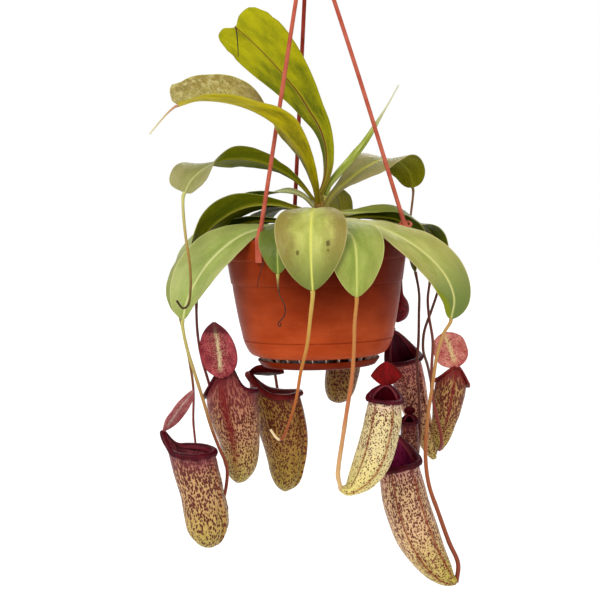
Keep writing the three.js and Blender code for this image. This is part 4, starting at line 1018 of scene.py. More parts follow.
def leaf_side_look(name, look, upper):
    """One side of a blade. Its lay is the distance off the midrib, the distance along it, and the share of
    the half width."""
    dark, light = look["top"] if upper else look["under"]
    rib = look["rib"] if upper else look["rib_under"]
    surface = Look(name, Subsurface_Weight=0.08, Subsurface_Radius=(0.0012, 0.0016, 0.0003),
        Specular_IOR_Level=0.13 if upper else 0.1)
    lay, part = surface.spread()
    across, length, share = surface.axes(lay)
    off = surface.absolute(across)
    edge = surface.absolute(share)

    # Broad patches, then fine grain
    patches = surface.noise(lay, (0.07, 0.03, 0.6), 4.0, 0.6)
    lightness = patches if upper else surface.times_plus(part, 0.34, surface.minus(patches, 0.2))
    surface.colour = surface.ramp(surface.fade(lightness, 0.22, 0.78), [(0, dark), (1, light)])
    grain = surface.noise(lay, (1.3, 1.0, 0), 4.0, 0.7)
    surface.shade(grain, 0.84, 1.16)

    # Side veins leave the midrib at a slant and join up near the margin
    slant = surface.times_plus(off, -1.5, length)
    wander = surface.noise(lay, (0.12, 0.12, 0), 2.0)
    slant = surface.times_plus(wander, 9.0, slant)
    wave = surface.maths("SINE", surface.times(slant, 1.5))
    veins = surface.fade(wave, 0.8, 1.0)
    net = surface.cells(lay, (0.5, 0.32, 0), "DISTANCE_TO_EDGE")["Distance"]
    mesh = surface.fall(net, 0.0, 0.09)
    lines = surface.maths("MAXIMUM", surface.times(veins, 0.8), surface.times(mesh, 0.55))
    surface.paint(surface.times(lines, 0.22 if upper else 0.16), light)

    # Long veins that run beside the margin
    for place in (0.52, 0.8):
        gap = surface.apart(edge, place)
        line = surface.fall(gap, 0.0, 0.022)
        surface.paint(surface.times(line, 0.3), dark if upper else light)

    # Bloom that spreads from the margin in blotches
    if upper:
        cloud = surface.noise(lay, (0.11, 0.09, 0), 5.0, 0.7)
        near = surface.fade(surface.times_plus(cloud, 0.9, edge), 0.62, 1.25)
        surface.paint(surface.times(near, look["strength"]), look["bloom"])
    # Painted highlights: pale glossy patches toward the tip. Then dark streaks, and a brown tint toward the
    # base
    if upper and look["mottle_and_highlights"]:
        highlight_noise = surface.noise(surface.shifted(lay, 2.0, 0.4), (0.3, 0.3, 0), 5.0, 0.7)
        leaf_highlight = surface.times(surface.fade(highlight_noise, 0.46, 0.62), surface.fade(part, 0.5, 0.85))
        surface.paint(surface.times(leaf_highlight, 0.55), (232, 222, 150))
        leaning = surface.times_plus(across, 0.8, length)
        slanted = {0: surface.times(leaning, 0.85), 1: surface.times(across, 0.22)}
        streaks = surface.noise(surface.node("CombineXYZ", slanted).outputs[0], 1.0, 4.0, 0.7)
        dense = surface.times(surface.fade(streaks, 0.52, 0.6), surface.fade(part, 0.4, 0.8, 0.1, 0.6))
        surface.paint(dense, (96, 92, 22))
        base = surface.fall(part, 0.45, 0.8, 0.85)
        surface.paint(base, (148, 116, 60))
    if look["scars"]:
        spots = surface.noise(lay, (0.16, 0.16, 0), 6.0, 0.62)
        holes = surface.times(surface.fade(spots, 0.69, 0.73), look["scars"])
        surface.paint(holes, (96, 62, 22))
        for x, y, size in look["marks"]:
            ends = {0: surface.shifted(lay, 1.6, 0.5), 1: (x, y, 0)}
            spot = surface.node("VectorMath", ends, operation="SUBTRACT").outputs[0]
            flat = surface.scaled(spot, (1, 0.7, 0))
            away = surface.node("VectorMath", {0: flat}, operation="LENGTH").outputs["Value"]
            surface.paint(surface.fall(away, size * 0.6, size * 1.1, 0.85), (92, 76, 16))
        flecks = surface.cells(lay, (0.3, 0.3, 0))["Distance"]
        surface.paint(surface.fall(flecks, 0.05, 0.1, 0.35), (226, 220, 180))

    # Painted shade: the upper side darkens toward the tip, where it droops
    if upper and look["end"]:
        turn = look["turn"]
        last = surface.fade(surface.times_plus(patches, 0.2, part), turn, turn + 0.3, 0.0, 0.9)
        surface.paint(last, look["end"])

    if upper and look["curl"]:
        rolled = surface.times_plus(share, -0.5, surface.times(part, 2.0))
        surface.paint(surface.fade(rolled, 2.02, 2.08, 0.0, 0.95), look["curl"])

    # Stalk, midrib and margin
    stalk = surface.fall(part, 0.04, 0.2, 0.6)
    surface.paint(stalk, (176, 120, 66) if upper else (168, 132, 44))
    width = surface.fade(part, 0.1, 0.95, 1.25, 0.55)
    beside = surface.fall(surface.maths("DIVIDE", off, width), 0.6, 2.6, 0.5)
    surface.paint(beside, rib if upper else (190, 180, 40))
    middle = surface.fall(surface.maths("DIVIDE", off, width), 0.45, 0.8)
    surface.paint(middle, rib)
    surface.paint(surface.fade(edge, 0.955, 0.985, 0.0, 0.75), look["margin"])

    rough = surface.fade(grain, 0.25, 0.75, 0.32 if upper else 0.42, 0.52 if upper else 0.62)
    pucker = surface.noise(lay, (0.2, 0.14, 0), 2.0)
    heights = [(pucker, 0.9 if upper else 0.6), (lines, -0.07 if upper else 0.09), (grain, 0.06)]
    return surface.finish(rough, heights)


def tendril_look(name, colours):
    """Smooth skin that turns in colour along its length, with fine lines."""
    surface = Look(name, Subsurface_Weight=0.06, Subsurface_Radius=(0.001, 0.0005, 0.0002),
        Specular_IOR_Level=0.18)
    lay, part = surface.spread()
    patches = surface.noise(lay, (0.3, 0.3, 0.06), 4.0, 0.6)
    place = surface.times_plus(patches, 0.3, surface.minus(part, 0.15))
    surface.colour = surface.ramp(place, list(zip((0.0, 0.5, 0.97), colours[:3])))
    if len(colours) > 3:
        surface.paint(surface.fade(part, 0.905, 0.925), colours[3])
    grain = surface.noise(lay, (1.6, 1.6, 0.5), 4.0, 0.7)
    surface.shade(grain, 0.72, 1.25)
    lines = surface.noise(lay, (2.2, 2.2, 0.08), 2.0)
    rough = surface.fade(grain, 0.3, 0.7, 0.36, 0.55)
    return surface.finish(rough, [(lines, 0.16), (grain, 0.08)])


def dry_look():
    """Withered brown thread."""
    surface = Look("dry_thread", Specular_IOR_Level=0.3)
    lay, part = surface.spread()
    grain = surface.noise(lay, (2.0, 2.0, 0.7), 4.0, 0.7)
    place = surface.times_plus(grain, 0.5, surface.minus(part, 0.25))
    surface.colour = surface.ramp(place, [(0, (96, 60, 30)), (0.4, (44, 24, 16)), (1, (30, 16, 12))])
    return surface.finish(surface.fade(grain, 0.2, 0.8, 0.6, 0.9), [(grain, 0.2)])


def cup_outer_look(name, look):
    """The spotted wall: its lay is the pitcher with its spine made straight."""
    surface = Look(name, Subsurface_Weight=0.06, Subsurface_Radius=(0.0014, 0.0006, 0.0003),
        Specular_IOR_Level=0.1, Coat_Weight=0.04, Coat_Roughness=0.25)
    lay, part = surface.spread()
    patches = surface.noise(lay, (0.09, 0.09, 0.05), 4.0, 0.6)
    place = surface.times_plus(patches, 0.36, surface.minus(part, 0.18))
    low, middle, high = look["wall"]
    wall = [(0.05, low), (0.55, middle), (look["redden"], middle), (1.0, high)]
    surface.colour = surface.ramp(place, wall)
    grain = surface.noise(lay, (0.9, 0.9, 0.6), 5.0, 0.7)
    surface.shade(grain, 0.8, 1.2)

    # Frayed spots, drawn out along the pitcher, with finer ones between them
    drawn = (1 / look["spot"], 1 / look["spot"], 1 / (look["spot"] * look["streak"]))
    frayed = surface.shifted(surface.scaled(lay, drawn), 0.45, 1.4)
    big = surface.cells(frayed, randomness=0.8)
    random_size = surface.axes(big["Color"])[0]
    size = surface.fade(random_size, 0.0, 1.0, look["dense"] - 0.15, look["dense"] + 0.11)
    size = surface.maths("ADD", size, surface.fade(place, 0.05, 1.0, -0.05, look["crowd"]))
    blots = surface.fade(surface.minus(size, big["Distance"]), -0.04, 0.05)
    small = surface.cells(surface.shifted(surface.scaled(lay, drawn), 0.4, 2.0), 1.8)
    small_size = surface.fade(surface.axes(small["Color"])[1], 0.4, 1.0, 0.0, look["dense"] * 0.75)
    dots = surface.fade(surface.minus(small_size, small["Distance"]), -0.06, 0.06)
    lines = surface.noise(surface.shifted(lay, 1.2, 0.2), (0.5, 0.5, 0.045), 3.0, 0.6)
    lanes = surface.times(surface.fade(lines, 0.56, 0.62), look["lanes"])
    spots = surface.maths("MAXIMUM", surface.maths("MAXIMUM", blots, surface.times(dots, 0.75)), lanes)
    red, green, blue = look["spots"]
    brighter = (red * 1.2, green * 1.8, blue * 1.4)
    deep = surface.ramp(grain, [(0.3, (red * 0.75, green * 0.6, blue * 0.8)), (0.7, brighter)])
    surface.paint(surface.times(spots, 0.93), deep)
    veil = surface.fade(place, look["redden"], 1.12, 0.0, look["veil"])
    surface.paint(veil, high)

    # The wings and the keel opposite them are redder than the wall
    x, y, _ = surface.axes(lay)
    turned = surface.absolute(surface.maths("ARCTAN2", y, x))
    beside = surface.apart(turned, radians(WING_ANGLE))
    surface.paint(surface.fall(beside, 0.02, 0.06, look["wings"]), (156, 72, 46))
    ragged = surface.times_plus(surface.noise(lay, 0.5, 4.0, 0.7), look["keel"] * 2, turned)
    keel = surface.fade(ragged, math.pi - look["keel"] * 0.5, math.pi + look["keel"], 0.0, 0.85)
    keel = surface.times(keel, surface.fade(part, 0.15, 0.6, 0.45, 1.0))
    surface.paint(keel, (130, 24, 26))
    neck = surface.times(surface.fade(turned, 2.1, 2.7), surface.fade(part, 0.84, 0.97, 0.0, 0.85))
    surface.paint(neck, look["neck"])
    rough = surface.fade(grain, 0.25, 0.75, 0.3, 0.5)
    bumps = surface.noise(lay, (0.25, 0.25, 0.16), 3.0)
    return surface.finish(rough, [(bumps, 0.8), (spots, -0.05), (keel, 0.5), (grain, 0.1)])


def cup_inner_look(name, look):
    """The waxy inside, blotched near the mouth, with painted shade further down."""
    surface = Look(name, Specular_IOR_Level=0.06, Coat_Weight=0.02, Coat_Roughness=0.3)
    lay, part = surface.spread()
    tint = look["inside"]
    cloud = surface.noise(lay, (0.3, 0.3, 0.16), 5.0, 0.65)
    deeper = tuple(c * 0.6 for c in tint)
    surface.colour = surface.ramp(cloud, [(0.36, deeper), (0.6, tint)])
    marks = surface.cells(surface.shifted(surface.scaled(lay, (0.6, 0.6, 0.4)), 0.5, 1.0))["Distance"]
    surface.paint(surface.fall(marks, 0.3, 0.42, 0.6), (84, 8, 24))
    # Painted shade deep inside the pitcher
    surface.paint(surface.fall(part, 0.4, 0.9, 0.95), look["depth"])
    return surface.finish(surface.fade(cloud, 0.2, 0.8, 0.2, 0.4), [(cloud, 0.3)])


def collar_look(name, low, middle, high):
    """Ribbed collar, with a painted highlight along its inner edge. Its lay is the rib count, the way round
    the section, and the angle."""
    surface = Look(name, Specular_IOR_Level=0.08, Coat_Weight=0.02, Coat_Roughness=0.3)
    ribs, section, _ = surface.axes(surface.read("lay"))
    position = surface.space()
    tone = surface.noise(position, (0.12, 0.12, 0.12), 4.0, 0.6)
    surface.colour = surface.ramp(tone, [(0.3, low), (0.55, middle), (0.8, high)])
    stripe = surface.fade(surface.maths("SINE", surface.times(ribs, 0.7)), 0.3, 1.0, 0.0, 0.35)
    surface.paint(stripe, high)
    # Painted highlight along the inner edge of the section
    collar_highlight = surface.fall(surface.apart(section, 9.5), 0.0, 2.0, 0.45)
    surface.paint(collar_highlight, (176, 66, 78))
    grain = surface.noise(position, 1.2, 3.0)
    return surface.finish(surface.fade(grain, 0.3, 0.7, 0.3, 0.46), [(grain, 0.05)])


def lid_look(name, look):
    """A speckled lid with pale sparks, and a pale streak down its middle that is partly a painted highlight.
    """
    surface = Look(name, Subsurface_Weight=0.06, Subsurface_Radius=(0.0014, 0.0005, 0.0003),
        Specular_IOR_Level=0.07, Coat_Weight=0.02, Coat_Roughness=0.3)
    lay, part = surface.spread()
    across, length, share = surface.axes(lay)
    cloud = surface.noise(lay, (0.14, 0.1, 0), 4.0, 0.65)
    surface.colour = surface.ramp(surface.fade(cloud, 0.32, 0.68), list(enumerate(look["field"])))
    grain = surface.noise(lay, (1.2, 0.9, 0), 5.0, 0.7)
    surface.shade(grain, 0.78, 1.2)
    # The pale streak: partly the lid's own colour, partly a painted highlight
    wide = surface.noise(lay, (0.4, 0.22, 0), 4.0, 0.7)
    near = surface.times_plus(wide, 5.0, surface.absolute(across))
    pale = surface.times(surface.fall(near, 2.4, 5.2), look["pale"])
    ends = surface.times(surface.fade(part, 0.06, 0.25), surface.fade(part, 0.8, 1.0, 1.0, 0.2))
    surface.paint(surface.times(pale, ends), look["streak"])
    sparks = surface.cells(surface.shifted(surface.scaled(lay, (1.5, 1.2, 0)), 0.5, 1.5))["Distance"]
    centred = surface.fade(surface.absolute(share), 0.1, 0.8, look["pale"], 0.1 * look["pale"])
    surface.paint(surface.times(surface.fall(sparks, 0.2, 0.36), centred), look["streak"])
    specks = surface.cells(surface.shifted(surface.scaled(lay, (0.95, 0.7, 0)), 0.6, 1.5))
    size = surface.fade(surface.axes(specks["Color"])[0], 0.1, 1.0, 0.12, 0.5)
    dots = surface.fade(surface.minus(size, specks["Distance"]), -0.06, 0.06)
    surface.paint(surface.times(dots, 0.7), look["speck"])
    if "end" in look:
        rolled = surface.fade(surface.times_plus(cloud, 0.2, part), 0.84, 0.94, 0.0, 0.85)
        surface.paint(rolled, look["end"])
    surface.paint(surface.fade(surface.absolute(share), 0.86, 1.0, 0.0, 0.6), look["field"][0])
    slant = surface.times_plus(surface.absolute(across), -1.2, length)
    veins = surface.fade(surface.maths("SINE", surface.times(slant, 1.7)), 0.6, 1.0)
    rough = surface.fade(grain, 0.25, 0.75, 0.34, 0.56)
    return surface.finish(rough, [(cloud, 1.0), (veins, 0.12), (grain, 0.12)])


def spear_look():
    """The rolled young leaf: green stripes that turn pale toward the tip."""
    surface = Look("rolled_leaf", Subsurface_Weight=0.08, Subsurface_Radius=(0.001, 0.0014, 0.0003),
        Specular_IOR_Level=0.2)
    lay, part = surface.spread()
    stripes = surface.noise(lay, (0.7, 0.7, 0.035), 4.0, 0.6)
    greens = [(0.3, (112, 136, 16)), (0.5, (164, 178, 56)), (0.7, (210, 212, 112))]
    surface.colour = surface.ramp(stripes, greens)
    pale = surface.fade(part, 0.55, 0.8)
    surface.paint(pale, (226, 224, 170))
    grain = surface.noise(lay, (1.4, 1.4, 0.3), 4.0)
    surface.shade(grain, 0.82, 1.15)
    return surface.finish(surface.fade(grain, 0.3, 0.7, 0.36, 0.5), [(stripes, 0.4), (grain, 0.08)])


def stem_look():
    """Reddish bark with leaf scars, and fresh sheaths at the top."""
    surface = Look("stem_bark", Specular_IOR_Level=0.15)
    position = surface.space()
    height = surface.axes(position)[2]
    bark = surface.noise(position, (0.5, 0.5, 0.16), 6.0, 0.7)
    rings = surface.maths("SINE", surface.times_plus(bark, 3.0, surface.times(height, 1.1)))
    browns = [(0.3, (92, 54, 30)), (0.52, (164, 100, 60)), (0.75, (206, 146, 96))]
    surface.colour = surface.ramp(bark, browns)
    fresh = surface.fade(height, RIM_Z + 16, RIM_Z + 30, 0.0, 0.85)
    surface.paint(fresh, (160, 140, 48))
    rough = surface.fade(bark, 0.3, 0.7, 0.5, 0.8)
    return surface.finish(rough, [(bark, 0.7), (rings, 0.3)])


def plastic_look(name, dark, light, painted_shade_colour=None):
    """Moulded plastic with faint flow marks, dust and fine scratches. The pot has painted shade higher up,
    where the leaves shade it, and more on its right than its left."""
    surface = Look(name, Specular_IOR_Level=0.03)
    position = surface.space()
    flow = surface.noise(position, (0.03, 0.03, 0.09), 5.0, 0.6)
    surface.colour = surface.ramp(surface.fade(flow, 0.3, 0.7), [(0, dark), (1, light)])
    grain = surface.noise(position, (0.9, 0.9, 0.9), 5.0, 0.7)
    surface.shade(grain, 0.93, 1.07)
    # Painted shade: darker higher up on the pot, and more on its right than its left
    if painted_shade_colour:
        height = surface.axes(position)[2]
        ragged = surface.times_plus(surface.noise(position, 0.06, 4.0), 26.0, height)
        high = surface.fade(ragged, RIM_Z - 80, RIM_Z - 14)
        aside = surface.fade(surface.axes(position)[0], -66, 0, 0.5, 1.0)
        surface.paint(surface.times(high, aside), painted_shade_colour)
    scratches = surface.noise(position, (0.3, 0.3, 3.4), 3.0, 0.6)
    rough = surface.fade(scratches, 0.3, 0.75, 0.3, 0.5)
    return surface.finish(rough, [(flow, 0.5), (scratches, 0.05), (grain, 0.05)])


def soil_look():
    """Dark growing mix with patches of moss."""
    surface = Look("growing_mix", Specular_IOR_Level=0.2)
    position = surface.space()
    lumps = surface.cells(surface.shifted(position, 3.0, 0.2), 0.22)
    tone = surface.noise(position, 0.5, 6.0, 0.7)
    surface.colour = surface.ramp(tone, [(0.3, (30, 20, 14)), (0.55, (74, 50, 32)), (0.8, (128, 94, 60))])
    moss = surface.fade(surface.noise(position, 0.06, 4.0), 0.55, 0.66)
    surface.paint(surface.times(moss, 0.7), (84, 98, 30))
    return surface.finish(0.95, [(lumps["Distance"], 2.2), (tone, 0.8)])


def bark_look():
    """Dry chips of bark in several browns."""
    surface = Look("bark_chips", Specular_IOR_Level=0.25)
    position = surface.space()
    tone = surface.noise(position, (0.2, 0.2, 0.5), 6.0, 0.7)
    surface.colour = surface.ramp(tone, [(0.3, (48, 30, 20)), (0.55, (110, 72, 44)), (0.8, (160, 116, 74))])
    return surface.finish(surface.fade(tone, 0.3, 0.7, 0.7, 0.95), [(tone, 0.9)])


def floor_look():
    surface = Look("pale_floor", Emission_Color=(1, 1, 1, 1), Emission_Strength=0.3)
    cloud = surface.noise(surface.space(), 0.002, 3.0)
    grey = surface.fade(cloud, 0.3, 0.7, 0.86, 0.9)
    surface.colour = surface.node("CombineColor", {0: grey, 1: grey, 2: grey}).outputs[0]
    return surface.finish(0.8)


def stem_axis(z):
    return Vector((STEM_X + STEM_LEAN * (z - SOIL_TOP_Z), 0, z))


def stem_radius(z):
    return mix(STEM_RADIUS, STEM_TOP_RADIUS, smooth((z - STEM_TAPER_Z) / (STEM_TOP_Z - STEM_TAPER_Z)))


def leaf_path(leaf):
    """The midrib, from its seat on the stem to the tip."""
    start = leaf.get("start")
    if start is None:
        seat = outward(leaf["bearing"]) * (stem_radius(leaf["attach"]) + LEAF_SEAT_GAP)
        start = stem_axis(leaf["attach"]) + seat
    return [Vector(p) for p in (start, *leaf["path"])]


def half_width(leaf, u):
    stalk = mix(leaf["base"], leaf["neck"], smooth(u / STALK_PART))
    if u < leaf["widest"]:
        spread = smooth((u - BLADE_START) / (leaf["widest"] - BLADE_START))
        return mix(stalk, leaf["half"], spread ** 1.25)
    x = (u - leaf["widest"]) / (1 - leaf["widest"])
    return max(leaf["tip"], leaf["half"] * max(0, 1 - x * x) ** leaf["blunt"])


def blade_columns():
    """Places across a blade from -1 to 1, closer together beside the midrib."""
    steps = [i / LEAF_COLUMNS for i in range(-LEAF_COLUMNS, LEAF_COLUMNS + 1)]
    return [q * (0.58 + 0.42 * q * q) for q in steps]


def blade_row(leaf, curve, u, seed):
    """The upper and lower points across the blade at the part u of its length, each with its lay."""
    heading = curve.heading(u)
    side = sideways(leaf["bearing"])
    level = (side - heading * side.dot(heading)).normalized()
    upper = heading.cross(level)
    roll = radians(along(leaf["roll"], u))
    right = level * math.cos(roll) + upper * math.sin(roll)
    up = upper * math.cos(roll) - level * math.sin(roll)
    fold = mix(*leaf["fold"], u)
    half = half_width(leaf, u)
    reach = half / math.hypot(1, fold)
    left_lobe, right_lobe, corner = leaf["lobes"]
    above, below = [], []
    for s in blade_columns():
        # The halves meet in a soft bend at the midrib, droop a little and ripple toward their margins
        bent = math.sqrt(s * s + 0.003) - 0.055
        ripple = noise.noise(Vector((u * 7, 3 if s < 0 else 8, seed)))
        ripple += 0.5 * noise.noise(Vector((u * 17, 5 if s < 0 else 1, seed)))
        lift = reach * (fold * bent - 0.12 * s * s) + LEAF_RIPPLE * ripple * abs(s) ** 3 * smooth(u / 0.3)
        lobe = u ** 6 * ((left_lobe if s < 0 else right_lobe) * smooth(abs(s) / 0.4) - corner * s ** 8)
        off = s * reach
        point = curve.at(u) + right * (off * (1 + leaf["skew"] * s * u)) + up * lift + heading * lobe
        groove = GROOVE_DEPTH * bell(off / GROOVE_HALF_WIDTH)
        keel = KEEL_DEPTH * (1 - 0.7 * u) * bell(off / KEEL_HALF_WIDTH)
        thick = mix(LEAF_THICKNESS, MARGIN_THICKNESS, abs(s))
        lay = (s * half, u * curve.length, s)
        above.append((point - up * groove, lay))
        below.append((point - up * (thick + keel), lay))
    return above, below


def close_blade(shell, tops, lows, upper_side=1):
    """Faces over rows of upper and of lower points, and round their edges."""
    shell.net(tops, upper_side)
    shell.net(lows, 1)
    for edge in (0, -1):
        shell.net([[row[edge] for row in tops], [row[edge] for row in lows]], 1)
        shell.net([tops[edge], lows[edge]], 1)


def make_leaf(name, leaf, seed):
    curve = Curve(leaf_path(leaf))
    shell = Shell()
    tops, lows = [], []
    for k in range(LEAF_ROWS + 1):
        u = 1 - (1 - k / LEAF_ROWS) ** 1.3
        above, below = blade_row(leaf, curve, u, seed)
        tops.append([shell.add(point, lay, u) for point, lay in above])
        lows.append([shell.add(point, lay, u) for point, lay in below])
    # The stalk runs on into the stem
    inward = curve.heading(0) * -STALK_DEPTH
    for rows in (tops, lows):
        rows.insert(0, [shell.add(shell.points[i] + inward, shell.lay[i], 0) for i in rows[0]])
    close_blade(shell, tops, lows, 0)
    look = USUAL_LEAF_LOOK | LEAF_LOOKS[name]
    materials = [leaf_side_look(name + "_upper", look, True), leaf_side_look(name + "_under", look, False)]
    make_piece(name + "_blade", shell, materials, [name], corner=60)


def frames_along(curve, places):
    """The centre and two cross directions at the places of a line, without twist."""
    normal = None
    for u in places:
        heading = curve.heading(u)
        if normal is None:
            normal = Vector((1, 0, 0)) if abs(heading.z) > 0.8 else Vector((0, 0, 1))
        normal = (normal - heading * normal.dot(heading)).normalized()
        yield curve.at(u), normal, heading.cross(normal)


def add_tube(shell, curve, radius_at, sides, steps, round_at=None):
    """A round body along a line. round_at gives the share of the radius at an angle and part."""
    rings = []
    places = [k / steps for k in range(steps + 1)]
    for u, (centre, normal, other) in zip(places, frames_along(curve, places)):
        ring = []
        for angle in round_angles(sides):
            radius = radius_at(u) * (round_at(angle, u) if round_at else 1)
            x, y = radius * math.cos(angle), radius * math.sin(angle)
            ring.append(shell.add(centre + normal * x + other * y, (x, y, u * curve.length), u))
        rings.append(ring)
    shell.body(rings)


def tendril_line(tendril):
    """From the tip of the leaf, on in the same direction and through the points."""
    *_, before, tip = leaf_path(LEAVES[tendril["leaf"]])
    points = [tip, tip + (tip - before).normalized() * TENDRIL_LEAD, *tendril["path"]]
    if "pitcher" in tendril:
        points.append(PITCHERS[tendril["pitcher"]]["spine"][0])
    elif "bud" in tendril:
        points.append(BUD["path"][0])
    return points


def make_tendril(name, tendril, seed):
    curve = Curve(tendril_line(tendril))
    shell = Shell()

    def radius_at(u):
        length = u * curve.length
        knobbly = 1 + 0.09 * noise.noise(Vector((length / 9, seed, 0)))
        return (mix(tendril["girth"], tendril["end"], u) + 0.28 * bell(length / 4)) * knobbly

    steps = max(12, round(curve.length / TENDRIL_STEP))
    add_tube(shell, curve, radius_at, TENDRIL_SIDES, steps)
    make_piece(name + "_line", shell, [tendril_look(name + "_skin", TENDRIL_LOOKS[name])], [name])


def cup_frame(pitcher, t):
    """The centre, heading, front and side directions of a pitcher at the part t of its spine."""
    curve = pitcher["curve"]
    heading = curve.heading(t)
    face = outward(pitcher["front"])
    front = (face - heading * face.dot(heading)).normalized()
    return curve.at(t), heading, front, heading.cross(front)


def cup_point(pitcher, t, angle, off, lift=0, cup=None):
    """A point of the wall, moved out by off and up by lift. Its angle is 0 at the low side of the mouth."""
    centre, heading, front, side = cup or cup_frame(pitcher, t)
    share = (1 - math.cos(angle)) / 2
    back = share ** pitcher["peak"]
    near_mouth = smooth((t - NECK_START) / (1 - NECK_START))
    at_rim = smooth((t - RIM_START) / (1 - RIM_START))
    rise = (pitcher["rise"] * back + pitcher["tilt"] * share) * near_mouth + lift
    if pitcher["hood"]:
        middle, spread, height = pitcher["hood"]
        rise += height * bell(math.degrees(half_turn(angle - radians(middle))) / spread) * at_rim
    radius = along(pitcher["girth"], t) * (1 - pitcher["pinch"] * back * at_rim) + off
    return centre + front * (radius * math.cos(angle)) + side * (radius * math.sin(angle)) + heading * rise


def cup_angles():
    """Evenly round the pitcher, with a closer pair beside each wing."""
    angles = [360 * k / CUP_COLUMNS for k in range(CUP_COLUMNS)]
    for wing in (WING_ANGLE, 360 - WING_ANGLE):
        angles += [wing - WING_SPREAD, wing + WING_SPREAD]
    return [radians(a) for a in sorted(angles)]


def wing_at(t, angle, seed):
    """Height of the fringed wings over the wall: they are one column wide."""
    if abs(abs(half_turn(angle)) - radians(WING_ANGLE)) > 0.01:
        return 0
    height = WING_HEIGHT + 0.5 * noise.noise(Vector((t * 30, angle, seed)))
    return height * smooth(t / 0.15) * smooth((1 - t) / 0.1)


def make_cup(name, pitcher, seed):
    shell = Shell()
    angles = cup_angles()
    length = pitcher["curve"].length

    def ring(t, off, winged):
        numbers = []
        cup = cup_frame(pitcher, t)
        radius = along(pitcher["girth"], t)
        calm = smooth((1 - t) / 0.2) * smooth(t / 0.1)
        for angle in angles:
            x, y = math.cos(angle), math.sin(angle)
            swell = 0.45 * noise.noise(Vector((x * 1.3, y * 1.3, t * 5 + seed)))
            wing = wing_at(t, angle, seed) if winged else 0
            point = cup_point(pitcher, t, angle, off + wing + swell * calm, 0, cup)
            numbers.append(shell.add(point, (radius * x, radius * y, t * length), t))
        return numbers

    outer = [ring((k / CUP_ROWS) ** 1.25, 0, True) for k in range(CUP_ROWS + 1)]
    inner = [ring(t, -CUP_WALL, False) for t in CUP_INNER_ROWS]
    shell.net(outer, 0, round_rows=True)
    shell.net([outer[-1], inner[0]], 0, round_rows=True)
    shell.net(inner, 1, round_rows=True)
    shell.cap(outer[0], 0)
    shell.cap(inner[-1], 1)
    look = USUAL_CUP_LOOK | CUP_LOOKS[name]
    materials = [cup_outer_look(name + "_outside", look), cup_inner_look(name + "_inside", look)]
    make_piece(name + "_body", shell, materials, [name + "_cup"], corner=70)


def add_collar(shell, pitcher, seed):
    """The ribbed collar: three columns to a rib, and a wavy hem on its outside."""
    ribs = max(24, round(2 * math.pi * along(pitcher["girth"], 1) / COLLAR_RIB_WIDTH))
    cup = cup_frame(pitcher, 1)
    rings = []
    for j, angle in enumerate(round_angles(ribs * 3)):
        rib = (1.0, 0.25, 0.25)[j % 3] * COLLAR_RIB_HEIGHT
        wave = 0.5 * noise.noise(Vector((math.cos(angle) * 2.2, math.sin(angle) * 2.2, seed)))
        back = ((1 - math.cos(angle)) / 2) ** 3
        wide = pitcher["collar"] * (1 + 0.18 * math.sin(angle) ** 2 - 0.15 * back)
        scallop = pitcher["scallop"] * abs(math.sin(angle * pitcher["waves"]))
        ring = []
        for k, (off, lift) in enumerate(COLLAR_SECTION):
            out = math.copysign(rib, off) if k in COLLAR_RIBBED else 0
            hem = scallop if k in COLLAR_HEM else 0
            rise = (lift + wave - hem) * wide + rib * 0.5
            point = cup_point(pitcher, 1, angle, off * wide + out - CUP_WALL / 2, rise, cup)
            ring.append(shell.add(point, (j * 2 * math.pi / 3, k, angle), k / len(COLLAR_SECTION)))
        rings.append(ring)
    shell.net(rings, 0, round_rows=True, round_columns=True)


def lid_half_width(lid, v):
    widest = lid["widest"]
    away = (v - widest) / (widest if v < widest else 1 - widest)
    taper = USUAL_LID["taper"] if v < widest else lid["taper"]
    return max(LID_END_HALF_WIDTH, lid["half"] * max(0, 1 - abs(away) ** lid["square"]) ** taper)


def add_lid(shell, pitcher, seed):
    lid = USUAL_LID | pitcher["lid"]
    direction = Vector(lid["along"]).normalized()
    across = Vector(lid["side"])
    across = (across - direction * across.dot(direction)).normalized()
    up = direction.cross(across)
    out, lower = lid["seat"]
    start = cup_point(pitcher, 1, math.pi, out - CUP_WALL / 2, 1.6 * pitcher["collar"] - lower)
    tops, lows = [], []
    for k in range(LID_ROWS + 1):
        v = k / LID_ROWS
        turn = radians(lid["bend"]) * v
        heading = direction * math.cos(turn) + up * math.sin(turn)
        over = up * math.cos(turn) - direction * math.sin(turn)
        centre = start + heading * (lid["length"] * v)
        width = lid_half_width(lid, v)
        above, below = [], []
        for i in range(-LID_COLUMNS, LID_COLUMNS + 1):
            s = i / LID_COLUMNS
            ripple = 0.07 * lid["half"] * noise.noise(Vector((v * 4, s * 1.5, seed))) * abs(s) ** 1.5
            ridge = LID_RIDGE * bell(s * width / 1.2)
            thick = mix(LID_THICKNESS, LID_EDGE_THICKNESS, abs(s))
            point = centre + across * (s * width) + over * (ripple - 0.16 * width * s * s)
            lay = (s * width, v * lid["length"], s)
            above.append(shell.add(point + over * ridge * 0.4, lay, v))
            below.append(shell.add(point - over * (thick + ridge), lay, v))
        tops.append(above)
        lows.append(below)
    close_blade(shell, tops, lows)


def make_collar_and_lid(name, pitcher, collar, seed):
    shell = Shell()
    add_collar(shell, pitcher, seed)
    add_lid(shell, pitcher, seed)
    materials = [collar, lid_look(name + "_lid_skin", LID_LOOKS[name])]
    make_piece(name + "_mouth", shell, materials, [name + "_lid"], corner=80)


def make_bud():
    shell = Shell()

    def flattened(angle, u):
        return 1 + 0.07 * math.cos(2 * angle) + 0.05 * math.cos(angle) * smooth((u - 0.4) / 0.3)

    add_tube(shell, Curve(BUD["path"]), lambda u: along(BUD["girth"], u), 24, 40, flattened)
    skin = cup_outer_look("bud_skin", USUAL_CUP_LOOK | CUP_LOOKS["bud"])
    make_piece("bud_body", shell, [skin], ["bud"])


